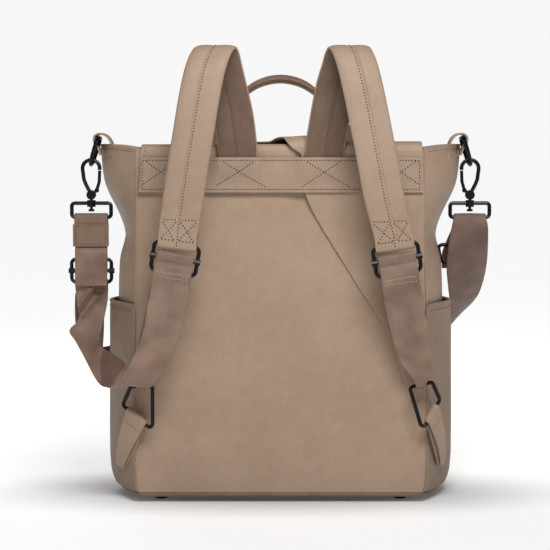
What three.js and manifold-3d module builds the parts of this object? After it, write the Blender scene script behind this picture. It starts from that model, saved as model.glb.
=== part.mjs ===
// Convertible backpack: a soft leather bag with a wrapped top, padded shoulder straps and crossbody webbing.
// Millimetres, Z up, the strap side faces -Y, the floor is Z = 0.
import * as THREE from "three";
import Module from "manifold-3d";

const wasm = await Module();
wasm.setup();

// Driving sizes
const WALL = 2.4;
const GAP = 0.35;
const SHEET = 2.2;
const RIM_Z = 359;
const BASE_TOP = 12;
const BASE_BOTTOM = 4.6;
const POCKET_RIM_Z = 201;
const FLAP_HALF = 140.5;
const YOKE_TOP = 347.4;
const YOKE_BOTTOM = 312.6;
const STRAP_WIDTH = 38.5;
const STRAP_THICK = 5;
const WEB_THICK = 1.5;
const SHOULDER_WEB = 38;
const WIRE = 2;
const HOOK_X = 193;
const HOOK_Y = 42;
const EYE_Z = 309;
const BASE_LOOP_TOP = 300.6;
const BASE_LOOP_LOW = 286.2;
const CROSS_SLIDER_Z = 231.6;

// Colours of the materials
const leather = new THREE.MeshStandardMaterial({ name: "leather", color: 0xa08a76, roughness: 0.55 });
const webbing = new THREE.MeshStandardMaterial({ name: "webbing", color: 0x8a7162, roughness: 0.8 });
const metal = new THREE.MeshStandardMaterial({ name: "metal", color: 0x1e1f21, roughness: 0.35, metalness: 0.8 });

const root = new THREE.Group();
root.name = "convertible_backpack";
const V = (x, y, z) => new THREE.Vector3(x, y, z);

function add(name, geometry, material) {
  const mesh = new THREE.Mesh(geometry, material);
  mesh.name = name;
  root.add(mesh);
  return mesh;
}

function geometryOf(points, faces) {
  const flat = [];
  for (const p of points) flat.push(p.x, p.y, p.z);
  const g = new THREE.BufferGeometry();
  g.setAttribute("position", new THREE.Float32BufferAttribute(flat, 3));
  g.setIndex(faces);
  // A closed mesh with a negative volume is turned round.
  let volume = 0;
  for (let i = 0; i < faces.length; i += 3) {
    const a = points[faces[i]], b = points[faces[i + 1]], c = points[faces[i + 2]];
    volume += a.dot(b.clone().cross(c));
  }
  if (volume < 0) {
    for (let i = 0; i < faces.length; i += 3) [faces[i + 1], faces[i + 2]] = [faces[i + 2], faces[i + 1]];
    g.setIndex(faces);
  }
  g.computeVertexNormals();
  return g;
}

// Solid through loops of equal count, closed by fans at both ends.
function loft(loops) {
  const n = loops[0].length;
  const points = loops.flat();
  const faces = [];
  for (let i = 0; i + 1 < loops.length; i++)
    for (let j = 0; j < n; j++) {
      const a = i * n + j, b = i * n + ((j + 1) % n), c = a + n, d = b + n;
      faces.push(a, b, d, a, d, c);
    }
  for (const [row, flip] of [[0, true], [loops.length - 1, false]]) {
    const centre = new THREE.Vector3();
    for (const p of loops[row]) centre.addScaledVector(p, 1 / n);
    points.push(centre);
    const c = points.length - 1;
    for (let j = 0; j < n; j++) {
      const a = row * n + j, b = row * n + ((j + 1) % n);
      if (flip) faces.push(c, b, a);
      else faces.push(c, a, b);
    }
  }
  return geometryOf(points, faces);
}

// Sheet of a given thickness on a grid of mid-surface points; thick(i, j) may vary.
function sheet(grid, thick) {
  const rows = grid.length, cols = grid[0].length;
  const at = (i, j) => grid[Math.max(0, Math.min(rows - 1, i))][Math.max(0, Math.min(cols - 1, j))];
  const points = [];
  for (const side of [1, -1])
    for (let i = 0; i < rows; i++)
      for (let j = 0; j < cols; j++) {
        const du = at(i + 1, j).clone().sub(at(i - 1, j));
        const dv = at(i, j + 1).clone().sub(at(i, j - 1));
        const normal = du.cross(dv).normalize();
        const t = typeof thick === "function" ? thick(i, j) : thick;
        points.push(grid[i][j].clone().addScaledVector(normal, (side * t) / 2));
      }
  const top = (i, j) => i * cols + j;
  const low = (i, j) => rows * cols + i * cols + j;
  const faces = [];
  for (let i = 0; i + 1 < rows; i++)
    for (let j = 0; j + 1 < cols; j++) {
      faces.push(top(i, j), top(i + 1, j), top(i + 1, j + 1), top(i, j), top(i + 1, j + 1), top(i, j + 1));
      faces.push(low(i, j), low(i + 1, j + 1), low(i + 1, j), low(i, j), low(i, j + 1), low(i + 1, j + 1));
    }
  const edge = (a, b) => faces.push(top(...a), top(...b), low(...b), top(...a), low(...b), low(...a));
  for (let j = 0; j + 1 < cols; j++) {
    edge([0, j], [0, j + 1]);
    edge([rows - 1, j + 1], [rows - 1, j]);
  }
  for (let i = 0; i + 1 < rows; i++) {
    edge([i + 1, 0], [i, 0]);
    edge([i, cols - 1], [i + 1, cols - 1]);
  }
  return geometryOf(points, faces);
}

// Smooth values between the rows of a table of numbers.
function smooth(table, steps) {
  const out = [];
  const n = table.length;
  for (let i = 0; i + 1 < n; i++) {
    const p0 = table[Math.max(0, i - 1)], p1 = table[i], p2 = table[i + 1], p3 = table[Math.min(n - 1, i + 2)];
    for (let k = 0; k < steps; k++) {
      const t = k / steps;
      out.push(p1.map((_, c) => 0.5 * (2 * p1[c] + (p2[c] - p0[c]) * t
        + (2 * p0[c] - 5 * p1[c] + 4 * p2[c] - p3[c]) * t * t
        + (3 * p1[c] - p0[c] - 3 * p2[c] + p3[c]) * t * t * t)));
    }
  }
  out.push(table[n - 1].slice());
  return out;
}

// Value of a column of a table at a height, in straight steps.
function lookUp(table, z, column) {
  if (z <= table[0][0]) return table[0][column];
  for (let i = 1; i < table.length; i++)
    if (z <= table[i][0]) {
      const t = (z - table[i - 1][0]) / (table[i][0] - table[i - 1][0]);
      return table[i - 1][column] + t * (table[i][column] - table[i - 1][column]);
    }
  return table[table.length - 1][column];
}

// Strap along rows of [x, y, z, width] with the width direction across.
function strap(rows, across, thick, columns = 2) {
  const grid = rows.map(([x, y, z, w], i) => {
    const dir = typeof across === "function" ? across(i) : across;
    const row = [];
    for (let j = 0; j < columns; j++) row.push(V(x, y, z).addScaledVector(dir, w * (j / (columns - 1) - 0.5)));
    return row;
  });
  return sheet(grid, thick);
}

// Rows of an arc round a bar: centre, radius, angles in degrees from -Y towards +Z.
function around(cx, cy, cz, radius, from, to, width, steps = 8) {
  const rows = [];
  for (let k = 0; k <= steps; k++) {
    const a = ((from + ((to - from) * k) / steps) * Math.PI) / 180;
    rows.push([cx, cy - radius * Math.cos(a), cz + radius * Math.sin(a), width]);
  }
  return rows;
}

// Tube of round wire through points; closed makes a ring.
function tube(points, radius, closed, sides = 8) {
  const n = points.length;
  const loops = [];
  let side = null;
  for (let i = 0; i < n; i++) {
    const before = closed ? points[(i + n - 1) % n] : points[Math.max(0, i - 1)];
    const after = closed ? points[(i + 1) % n] : points[Math.min(n - 1, i + 1)];
    const dir = after.clone().sub(before).normalize();
    if (!side) side = Math.abs(dir.y) > 0.8 ? V(1, 0, 0) : V(0, 1, 0);
    side = side.clone().addScaledVector(dir, -side.dot(dir)).normalize();
    const up = dir.clone().cross(side);
    const loop = [];
    for (let j = 0; j < sides; j++) {
      const a = (2 * Math.PI * j) / sides;
      loop.push(points[i].clone().addScaledVector(side, radius * Math.cos(a)).addScaledVector(up, radius * Math.sin(a)));
    }
    loops.push(loop);
  }
  if (!closed) return loft(loops);
  const faces = [];
  for (let i = 0; i < n; i++)
    for (let j = 0; j < sides; j++) {
      const a = i * sides + j, b = i * sides + ((j + 1) % sides);
      const c = ((i + 1) % n) * sides + j, d = ((i + 1) % n) * sides + ((j + 1) % sides);
      faces.push(a, b, d, a, d, c);
    }
  return geometryOf(loops.flat(), faces);
}

// Closed path round straight corners with a given corner radius.
function roundedPath(corners, radius, steps = 4) {
  const out = [];
  const n = corners.length;
  for (let i = 0; i < n; i++) {
    const p = corners[i];
    const a = corners[(i + n - 1) % n].clone().sub(p).normalize();
    const b = corners[(i + 1) % n].clone().sub(p).normalize();
    const half = a.angleTo(b) / 2;
    const reach = radius / Math.tan(half);
    const start = p.clone().addScaledVector(a, reach);
    const end = p.clone().addScaledVector(b, reach);
    const centre = p.clone().addScaledVector(a.clone().add(b).normalize(), radius / Math.sin(half));
    for (let k = 0; k <= steps; k++) {
      const m = start.clone().lerp(end, k / steps).sub(centre).setLength(radius).add(centre);
      out.push(m);
    }
  }
  return out;
}

function toSolid(geometry) {
  const pos = geometry.getAttribute("position");
  return new wasm.Manifold(new wasm.Mesh({
    numProp: 3,
    vertProperties: new Float32Array(pos.array),
    triVerts: new Uint32Array(geometry.index.array),
  }));
}

function toGeometry(solid) {
  const mesh = solid.getMesh();
  const g = new THREE.BufferGeometry();
  g.setAttribute("position", new THREE.Float32BufferAttribute(Array.from(mesh.vertProperties), 3));
  g.setIndex(Array.from(mesh.triVerts));
  g.computeVertexNormals();
  return g;
}

const union = (...parts) => toGeometry(parts.map(toSolid).reduce((a, b) => a.add(b)));
const cut = (a, b) => toGeometry(toSolid(a).subtract(toSolid(b)));
const bar = (from, to, radius, sides = 12) => tube([from, to], radius, false, sides);

// Body sections
// height, half width of the panels, half width of the gussets at mid depth, depth, bulge of the front
const SECTIONS = [
  [BASE_TOP + GAP, 142.5, 163.5, 134, 1],
  [20, 145.5, 168.5, 139, 3],
  [40, 146.5, 170, 141, 6],
  [80, 146.4, 170, 142, 8],
  [130, 146, 169.5, 143, 8],
  [200, 145, 168.5, 144, 6],
  [225, 144.6, 168, 145, 5],
  [242, 144, 166.5, 147, 4],
  [255, 143.9, 163, 149, 4],
  [267, 143.8, 160.4, 150, 4],
  [277, 143.6, 163.5, 148, 4],
  [290, 143.4, 168.5, 142, 3],
  [306, 143, 175.5, 136, 2],
  [321, 143, 180.8, 131, 1],
  [336, 143, 183.6, 128, 0],
  [RIM_Z, 143, 185.4, 126, 0],
];
const PANEL_STEPS = 4;
const GUSSET_STEPS = 8;

// Half width of a gusset at a share of the depth
function gussetX(z, share) {
  const half = lookUp(SECTIONS, z, 1), mid = lookUp(SECTIONS, z, 2);
  return half + (mid - half) * (1 - Math.abs(2 * share - 1) ** 1.6);
}

function section(z, inset) {
  const half = lookUp(SECTIONS, z, 1), depth = lookUp(SECTIONS, z, 3), bulge = lookUp(SECTIONS, z, 4);
  const line = [];
  for (let i = 0; i < PANEL_STEPS; i++) line.push([-half + (2 * half * i) / PANEL_STEPS, 0]);
  for (let i = 0; i < GUSSET_STEPS; i++) line.push([gussetX(z, i / GUSSET_STEPS), (depth * i) / GUSSET_STEPS]);
  for (let i = 0; i < PANEL_STEPS; i++) {
    const x = half - (2 * half * i) / PANEL_STEPS;
    line.push([x, depth + bulge * (1 - (x / half) ** 2)]);
  }
  for (let i = 0; i < GUSSET_STEPS; i++) {
    const share = 1 - i / GUSSET_STEPS;
    line.push([-gussetX(z, share), depth * share]);
  }
  const n = line.length;
  return line.map(([x, y], i) => {
    const [ax, ay] = line[(i + n - 1) % n], [bx, by] = line[(i + 1) % n];
    const length = Math.hypot(bx - ax, by - ay);
    return [x - (inset * (by - ay)) / length, y + (inset * (bx - ax)) / length];
  });
}

const levels = SECTIONS.map((row) => row[0]);
const outer = levels.map((z) => section(z, 0).map(([x, y]) => V(x, y, z)));
const inner = levels.slice().reverse().map((z, i) => {
  const level = i === levels.length - 1 ? z + 3 : z;
  return section(z, WALL).map(([x, y]) => V(x, y, level));
});
add("bag_body", loft([...outer, ...inner]), leather);

// Base panel: slightly wider than the body's lowest section, like a piped edge
const baseRows = [[BASE_BOTTOM, 5], [BASE_BOTTOM + 2, 1.5], [BASE_BOTTOM + 4.5, -0.4], [BASE_TOP, -0.2]];
add("base_panel", loft(baseRows.map(([z, inset]) => section(SECTIONS[0][0], inset).map(([x, y]) => V(x, y, z)))), leather);

// Side pockets: sheet on the gusset that stands off at mid depth
// height, stand-off of the inner face at mid depth
const POCKET = [[15, 0.5], [20, 2.5], [40, 6.5], [80, 7.5], [130, 8], [192, 8], [196, 7.6], [POCKET_RIM_Z, 7.4]];
function pocket(side) {
  const loops = POCKET.map(([z, off]) => {
    const depth = lookUp(SECTIONS, z, 3);
    const thick = z > 194 ? 3 : 2;
    const outside = [], inside = [];
    for (let k = 0; k <= 8; k++) {
      const share = 0.02 + (0.96 * k) / 8;
      const stand = 0.7 + off * Math.sin(Math.PI * share) ** 0.8;
      const y = depth * share;
      const x = gussetX(z, share);
      inside.push(V(side * (x + stand), y, z));
      outside.push(V(side * (x + stand + thick), y, z));
    }
    return [...inside, ...outside.reverse()];
  });
  // A flat cap is cut into quads between the two faces.
  const n = loops[0].length;
  const points = loops.flat();
  const faces = [];
  for (let i = 0; i + 1 < loops.length; i++)
    for (let j = 0; j < n; j++) {
      const a = i * n + j, b = i * n + ((j + 1) % n), c = a + n, d = b + n;
      faces.push(a, b, d, a, d, c);
    }
  for (const [row, flip] of [[0, true], [loops.length - 1, false]])
    for (let j = 0; j + 1 < n / 2; j++) {
      const a = row * n + j, b = a + 1, c = row * n + n - 2 - j, d = c + 1;
      if (flip) faces.push(a, c, b, a, d, c);
      else faces.push(a, b, c, a, c, d);
    }
  return geometryOf(points, faces);
}
add("side_pocket_left", pocket(-1), leather);
add("side_pocket_right", pocket(1), leather);

// Front face of the body at its middle, for the sheets that hang in front of it
const frontY = (z) => lookUp(SECTIONS, z, 3) + lookUp(SECTIONS, z, 4);

// Path of a sheet over the top at a stand-off from the body: [y, z]
function overTop(off, backFoot, frontFoot) {
  const path = [[-off, backFoot], [-off, RIM_Z], [-off * 0.7, RIM_Z + off * 0.7], [0, RIM_Z + off]];
  for (const y of [25, 63, 100]) path.push([y, RIM_Z + off]);
  const front = frontY(RIM_Z);
  path.push([front, RIM_Z + off], [front + off * 0.7, RIM_Z + off * 0.7], [front + off, RIM_Z - 1]);
  for (const z of [336, 321, 306, 290, 278, 267, 240, 220, 200])
    if (z > frontFoot) path.push([frontY(z) + off + (z < 268 ? (268 - z) * 0.02 : 0), z]);
  path.push([frontY(frontFoot) + off + 1, frontFoot]);
  return path;
}
const TOP_OFF = 1.9;
const WRAP_OFF = TOP_OFF + SHEET + 0.6;
const topPath = overTop(TOP_OFF, 316, 236);
add("top_flap", sheet(topPath.map(([y, z]) => [-1, -0.5, 0, 0.5, 1].map((k) => V(k * FLAP_HALF, y, z))), SHEET), leather);

// Wrap flap: distance along the back, over the top and down the front; left free edge and right edge
// y, z, x of the free edge, x of the right edge
const WRAP = [
  [-1.9, 119, 127, 144],
  [-1.9, 133, 121.5, 144.8],
  [-1.9, 155, 114.3, 144.6],
  [-1.9, 177.5, 104.8, 144.4],
  [-1.9, 216, 79.3, 144],
  [-1.9, 240, 64.3, 143.4],
  [-2.2, 280, 39.3, 143],
  [-4.6, 306, 26, 142.6],
  [-4.7, 330, 20, 142],
];
const freeEdge = (y, z) => (y < 0 ? 16.7 - 1.5 * (z - 352) : z > 336 ? 4 - 0.28 * y : -41 - 0.55 * (336 - z));
const wrapTop = overTop(WRAP_OFF, 352, 206).map(([y, z]) => [y, z, freeEdge(y, z), FLAP_HALF]);
const wrapRows = [...WRAP, ...wrapTop];
const wrapGrid = wrapRows.map(([y, z, free, right], i) => {
  const before = wrapRows[Math.max(0, i - 1)], after = wrapRows[Math.min(wrapRows.length - 1, i + 1)];
  const dy = after[0] - before[0], dz = after[1] - before[1], length = Math.hypot(dy, dz) || 1;
  // The free edge curls away from the sheet under it.
  return [0, 0.06, 0.15, 0.5, 1].map((k) => {
    const lift = k < 0.15 ? 2.6 * (1 - k / 0.15) : 0;
    return V(free + (right - free) * k, y - (lift * dz) / length, z + (lift * dy) / length);
  });
});
add("wrap_flap", sheet(wrapGrid, SHEET), leather);

// Yoke band across the back, over both sheets
const yokeRows = [[YOKE_BOTTOM, 141.2], [(YOKE_BOTTOM + YOKE_TOP) / 2, 140], [YOKE_TOP, 138.6]];
add("yoke_band", sheet(yokeRows.map(([z, half]) => {
  const rowY = (x) => (x > 12 && x < 40 ? -10.6 : -9.6);
  return [-1, -0.6, -0.1, 0.06, 0.18, 0.3, 0.6, 1].map((k) => V(k * half, rowY(k * half), z));
}), SHEET), leather);

// Padded shoulder straps
// x, y, z of the middle line from the slider over the top to the yoke
const STRAP_LEFT = [
  [-99.6, -50, 274, 38], [-94.6, -52, 306.8, STRAP_WIDTH],
  [-89.3, -54, 341.3, STRAP_WIDTH], [-84, -54, 372.3, STRAP_WIDTH], [-79.2, -52, 402, STRAP_WIDTH],
  [-74, -47.5, 428.2, STRAP_WIDTH], [-69, -41, 444.7, STRAP_WIDTH], [-63.8, -33.5, 453.4, STRAP_WIDTH],
  [-60.7, -26.5, 450, STRAP_WIDTH], [-58, -21.5, 438.8, STRAP_WIDTH], [-53.6, -18, 420, STRAP_WIDTH],
  [-46.8, -14.6, 389.7, STRAP_WIDTH], [-42.5, -11.5, YOKE_TOP + 0.5, 38],
];
const STRAP_RIGHT = [
  [108.4, -50, 274, 38], [100.1, -52, 306.8, STRAP_WIDTH],
  [93.5, -54, 341.3, STRAP_WIDTH], [87.4, -54, 372.3, STRAP_WIDTH], [80.8, -52, 405, STRAP_WIDTH],
  [75.2, -47.5, 430.2, STRAP_WIDTH], [70.6, -41, 445.6, STRAP_WIDTH], [66.5, -33.5, 453.4, STRAP_WIDTH],
  [63.3, -26.5, 450, STRAP_WIDTH], [60.2, -21.5, 438.8, STRAP_WIDTH], [54.7, -18, 420, STRAP_WIDTH],
  [48.9, -14.6, 389.7, STRAP_WIDTH], [43.2, -11.5, YOKE_TOP + 0.5, 38],
];
// Tri-glide: rounded wire frame with a centre bar and its knuckles, upright in XZ, then turned and placed
function slider(width, height, wire, centre, tiltDeg) {
  const w = width / 2 - wire, h = height / 2 - wire;
  const frame = tube(roundedPath([V(-w, 0, -h), V(w, 0, -h), V(w, 0, h), V(-w, 0, h)], 4.5, 3), wire, true, 8);
  const middle = bar(V(-w - 1, 0, 0), V(w + 1, 0, 0), wire * 0.9, 8);
  const left = bar(V(-w - 3, 0, 0), V(-w + 3, 0, 0), wire * 1.45, 8);
  const right = bar(V(w - 3, 0, 0), V(w + 3, 0, 0), wire * 1.45, 8);
  const g = union(frame, middle, left, right);
  g.rotateY((tiltDeg * Math.PI) / 180);
  g.translate(centre.x, centre.y, centre.z);
  return g;
}
const TILT = 9.8;
const SLIDER_LEFT = V(-102.8, -46, 249.3);
const SLIDER_RIGHT = V(112.7, -46, 248.4);
add("shoulder_slider_left", slider(48, 32, WIRE, SLIDER_LEFT, TILT), metal);
add("shoulder_slider_right", slider(48, 32, WIRE, SLIDER_RIGHT, -TILT), metal);

// Tilt of a row of a strap in its slider's frame
function tilted(table, centre, tiltDeg) {
  const a = (tiltDeg * Math.PI) / 180;
  return table.map(([x, y, z, w]) => [centre.x + x * Math.cos(a) + z * Math.sin(a), centre.y + y, centre.z + z * Math.cos(a) - x * Math.sin(a), w]);
}

// Share of the slider's tilt that a strap still has at a row
const tiltAcross = (tiltDeg, hold, until) => (i) => {
  const a = (tiltDeg * Math.PI * Math.max(0, Math.min(1, (until - i) / (until - hold)))) / 180;
  return V(Math.cos(a), 0, -Math.sin(a));
};

// Padded strap: a thin leather end turns round the slider's upper bar, then the padding starts
const END_THICK = 2;
function shoulderStrap(table, centre, tiltDeg) {
  const turn = WIRE + GAP + END_THICK / 2;
  const end = tilted([[0, turn, 27, 36], ...around(0, 0, 14, turn, -180, 0, 36, 6)], centre, tiltDeg);
  const rows = [...end, ...smooth(table, 2)];
  const pad = (i, j) => {
    const full = END_THICK + (STRAP_THICK - END_THICK) * Math.max(0, Math.min(1, (i - 8) / 5));
    return j === 0 || j === 3 ? full * 0.6 : full;
  };
  return strap(rows, tiltAcross(tiltDeg, 8, 14), pad, 4);
}
add("shoulder_strap_left", shoulderStrap(STRAP_LEFT, SLIDER_LEFT, TILT), leather);
add("shoulder_strap_right", shoulderStrap(STRAP_RIGHT, SLIDER_RIGHT, -TILT), leather);

// Shoulder webbing: round the centre bar, behind the lower bar, then down to its ring
const REACH = WIRE + GAP + WEB_THICK / 2;
function shoulderWebbing(centre, tilt, down, ring) {
  const start = [[0, -REACH, -6.5, 36], ...around(0, 0, 0, REACH, 0, 180, 36, 6), [0, REACH + 2.6, -8, 36], [0, REACH + 4, -16, 37]];
  const c = ring[2].clone().lerp(ring[3], 0.5);
  const turn = [[c.x, c.y - REACH - 0.4, c.z + 7, 14], ...around(c.x, c.y, c.z, REACH, 0, -180, 10, 6), [c.x, c.y + REACH, c.z + 8, 11]];
  const lower = smooth([...down, turn[0]], 2).slice(0, -1);
  const rows = [...tilted(start, centre, tilt), ...lower, ...turn];
  const bend = tiltAcross(tilt, start.length, start.length + 5);
  const alongBar = ring[2].clone().sub(ring[3]).normalize();
  if (alongBar.x < 0) alongBar.negate();
  return strap(rows, (i) => (i >= rows.length - turn.length ? alongBar : bend(i)), WEB_THICK);
}

// Folded tab: two layers round the bar from a to b, drawn together at c.
function foldedTab(a, b, c, radius, thick, endWidth) {
  const middle = a.clone().lerp(b, 0.46);
  const along = b.clone().sub(a).normalize();
  const down = c.clone().sub(middle);
  const reach = down.clone().addScaledVector(along, -down.dot(along)).normalize();
  const out = reach.clone().cross(along).normalize();
  if (out.y > 0) out.negate();
  const full = a.distanceTo(b) - 15;
  const row = (point, width) => [-0.5, 0, 0.5].map((k) => point.clone().addScaledVector(along, k * width));
  const leg = (side) => [0, 0.3, 0.6, 0.9].map((t) => row(
    c.clone().lerp(middle, t).addScaledVector(out, 5 * Math.sin(Math.PI * (0.1 + 0.9 * t)) + side * (thick / 2 + 0.3 + (radius - thick / 2 - 0.3) * t)),
    endWidth + (full - endWidth) * t ** 0.8));
  const arc = [];
  for (let k = 0; k <= 8; k++) {
    const angle = (Math.PI * k) / 8;
    arc.push(row(middle.clone().addScaledVector(out, radius * Math.cos(angle)).addScaledVector(reach, -radius * Math.sin(angle)), full));
  }
  return sheet([...leg(1), ...arc, ...leg(-1).reverse()], thick);
}

// Lower rings: bent wire, first the fold bar's ends, then the two upper corners
const RING_LEFT = [V(-157.8, -10.6, 100.6), V(-127.5, -17, 76), V(-127.5, -17, 121.5), V(-149, -15, 120)];
const RING_RIGHT = [V(158.9, -10.6, 106), V(141, -17, 76), V(128, -17.5, 119.5), V(150.5, -15, 124.5)];
const TAB_LEFT_END = V(-162.4, 15, 36);
const TAB_RIGHT_END = V(162.8, 15, 38);
const ringOf = (corners) => tube(roundedPath(corners, 3.2, 4), WIRE, true, 8);
add("lower_ring_left", ringOf(RING_LEFT), metal);
add("lower_ring_right", ringOf([RING_RIGHT[0], RING_RIGHT[3], RING_RIGHT[2], RING_RIGHT[1]]), metal);
add("lower_tab_left", foldedTab(RING_LEFT[0], RING_LEFT[1], TAB_LEFT_END, WIRE + GAP + 0.8, 1.6, 8), leather);
add("lower_tab_right", foldedTab(RING_RIGHT[0], RING_RIGHT[1], TAB_RIGHT_END, WIRE + GAP + 0.8, 1.6, 8), leather);

// Shoulder webbing from each slider down to the ring, narrowed where it turns round the ring's top bar
const DOWN_LEFT = [[-112, -37, 205, SHOULDER_WEB], [-119, -29, 178, 37], [-129, -22, 146, 32]];
const DOWN_RIGHT = [[120.5, -38, 205, SHOULDER_WEB], [126, -30, 178, 37], [133.5, -24, 146, 32]];
add("shoulder_webbing_left", shoulderWebbing(SLIDER_LEFT, TILT, DOWN_LEFT, RING_LEFT), webbing);
add("shoulder_webbing_right", shoulderWebbing(SLIDER_RIGHT, -TILT, DOWN_RIGHT, RING_RIGHT), webbing);

// Ring tab on the tip of a wing, D-ring, snap hook, its gate and its base loop
const D_TOP = V(184.8, HOOK_Y, 366.6);
const D_LOW = V(193, HOOK_Y, 339.9);
const D_HALF = 13.5;
function mirrored(side, points) {
  return points.map((p) => V(side * p.x, p.y, p.z));
}
function ringTab(side) {
  const rows = [[162, 345], [162.4, 356], [166, 365], [174, 370.6], [184.6, 370.5], [188.6, 367.4], [188, 361], [184, 353.5], [182.7, 345.5]];
  return strap(smooth(rows.map(([x, z]) => [side * x, HOOK_Y, z, 20]), 2), V(0, 1, 0), 1.8);
}
function dRing(side) {
  const corners = [];
  const put = (along, y) => D_TOP.clone().lerp(D_LOW, along).setY(HOOK_Y + y);
  corners.push(put(0, -D_HALF + 3), put(0, D_HALF - 3), put(0.1, D_HALF));
  for (let k = 0; k <= 8; k++) {
    const a = (Math.PI * k) / 8;
    corners.push(put(0.45 + 0.55 * Math.sin(a), D_HALF * Math.cos(a)));
  }
  corners.push(put(0.1, -D_HALF));
  return tube(mirrored(side, corners), 2.3, true, 8);
}
function hook(side) {
  const x = HOOK_X;
  const path = [
    V(x - 3.6, 0, EYE_Z + 7), V(x - 5.6, 0, EYE_Z + 11), V(x - 7.4, 0, EYE_Z + 15.6),
  ].map((p) => p.setX(2 * x - p.x));
  const arc = [];
  for (let k = 0; k <= 12; k++) {
    const a = ((-10 + (200 * k) / 12) * Math.PI) / 180;
    arc.push(V(x + 8.8 * Math.cos(a), 0, EYE_Z + 26.9 + 8.8 * Math.sin(a)));
  }
  const outline = [V(x + 1.2, 0, EYE_Z + 2.5), ...path, ...arc].map((p) => V(side * p.x, HOOK_Y, p.z));
  const wire = tube(outline, WIRE, false, 8);
  const eye = bar(V(side * x, HOOK_Y - 2.4, EYE_Z), V(side * x, HOOK_Y + 2.4, EYE_Z), 4.9, 16);
  const stem = bar(V(side * x, HOOK_Y, EYE_Z - 3), V(side * x, HOOK_Y, 292.6), 1.5, 12);
  const head = bar(V(side * x, HOOK_Y, 292.2), V(side * x, HOOK_Y, 294.6), 3, 12);
  const solid = union(wire, eye, stem, head);
  // The gate's heel turns in a slot beside the eye.
  const slot = bar(V(side * (x - 5.6), HOOK_Y - 1.6, EYE_Z + 4.6), V(side * (x - 5.6), HOOK_Y + 1.6, EYE_Z + 4.6), 3.4, 16);
  return cut(solid, slot);
}
const GATE_PIVOT = [HOOK_X - 5.6, EYE_Z + 4.6];
function gate(side) {
  const [px, pz] = GATE_PIVOT;
  const rod = tube([V(side * px, HOOK_Y, pz), V(side * (px - 2.6), HOOK_Y, pz + 9), V(side * (px - 3.1), HOOK_Y, pz + 20.2)], 1.7, false, 10);
  const heel = bar(V(side * px, HOOK_Y - 1.3, pz), V(side * px, HOOK_Y + 1.3, pz), 2.4, 14);
  return union(rod, heel);
}
function hookBase(side) {
  const half = 20;
  const c = side * HOOK_X;
  const loop = tube(roundedPath([
    V(c - half, HOOK_Y, BASE_LOOP_LOW), V(c + half, HOOK_Y, BASE_LOOP_LOW),
    V(c + half, HOOK_Y, BASE_LOOP_TOP), V(c - half, HOOK_Y, BASE_LOOP_TOP),
  ], 3.2, 4), WIRE, true, 8);
  const collar = bar(V(c, HOOK_Y, 296.8), V(c, HOOK_Y, EYE_Z - 5.3), 4.3, 16);
  const hole = bar(V(c, HOOK_Y, 290), V(c, HOOK_Y, EYE_Z), 1.9, 12);
  return cut(union(loop, collar), hole);
}
for (const [side, word] of [[-1, "left"], [1, "right"]]) {
  add("ring_tab_" + word, ringTab(side), leather);
  add("d_ring_" + word, dRing(side), metal);
  add("hook_" + word, hook(side), metal);
  add("hook_gate_" + word, gate(side), metal);
  add("hook_base_" + word, hookBase(side), metal);
}

// Crossbody side on the left: leather tab round the loop, short webbing, slider, band
const LX = -193.3;
const CROSS_REACH = WIRE + GAP + 1;
const tabRows = [
  [LX, HOOK_Y - CROSS_REACH + 0.8, 257, 36.5], [LX, HOOK_Y - CROSS_REACH, 272, 36.5],
  ...around(LX, HOOK_Y, BASE_LOOP_LOW, CROSS_REACH, 0, 180, 35, 8),
  [LX, HOOK_Y + CROSS_REACH, 272, 36.5], [LX, HOOK_Y + CROSS_REACH - 0.8, 261, 36.5],
];
// The fold turns round the loop's lower bar from above on both faces.
add("crossbody_tab", strap(tabRows.map(([x, y, z, w]) => [x, y, z, z > BASE_LOOP_LOW - 4 ? 33 : w]), V(1, 0, 0), 1.9), leather);
const crossSlider = (x, y, z) => slider(44.5, 27.5, 1.9, V(x, y, z), 0);
add("crossbody_slider_left", crossSlider(LX, HOOK_Y, CROSS_SLIDER_Z), metal);
const upperRows = [
  [LX, HOOK_Y, 280, 33], [LX, HOOK_Y + 0.3, 262, 33], [LX, HOOK_Y + 3.6, 247, 33],
  ...around(LX, HOOK_Y, CROSS_SLIDER_Z, 3.2, 180, 360, 32, 8), [LX, HOOK_Y - 3.4, 240, 32],
];
add("crossbody_web_left", strap(upperRows, V(1, 0, 0), WEB_THICK, 3), webbing);

// Band between the left crossbody slider and the left shoulder slider
// both edges of the band: x, y, z of the first, x, y, z of the second
const BAND = [
  [-210.2, 42, 214, -177.4, 42, 214],
  [-208.5, 39, 203, -176.5, 39, 204],
  [-206, 33, 190, -178.5, 33, 190],
  [-208.5, 27, 180, -180.5, 29, 180],
  [-214, 20, 171.7, -182.4, 26, 172],
  [-206.7, 8, 163.1, -184.1, 27, 162.5],
  [-198.2, -4, 151.5, -184.2, 24, 156.5],
  [-191, -15, 140.9, -179.4, 15, 154.5],
  [-184.2, -23, 130, -171.9, 2, 152.8],
  [-177.3, -32, 123.4, -163.8, -9, 150],
  [-168.4, -41, 121.5, -156.1, -17, 146.5],
  [-161.5, -48, 126.5, -147.4, -26, 140.5],
  [-154.7, -54, 134.7, -137.8, -35, 132.6],
  [-146, -58, 148.2, -127.4, -43, 128],
  [-137.5, -59, 167.6, -114.2, -50, 140.4],
  [-131.9, -56, 186.6, -101.4, -53, 165],
  [-129, -54, 205.8, -94.2, -52, 190.1],
  [-127.2, -52.5, 213, -90.6, -51.5, 207],
];
function band(table, steps, columns) {
  return smooth(table, steps).map(([ax, ay, az, bx, by, bz]) => {
    const a = V(ax, ay, az), b = V(bx, by, bz);
    return Array.from({ length: columns }, (_, k) => a.clone().lerp(b, k / (columns - 1)));
  });
}
const lowTurn = around(LX, HOOK_Y, CROSS_SLIDER_Z - 11.85, 3.2, 180, 0, 33, 8);
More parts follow.
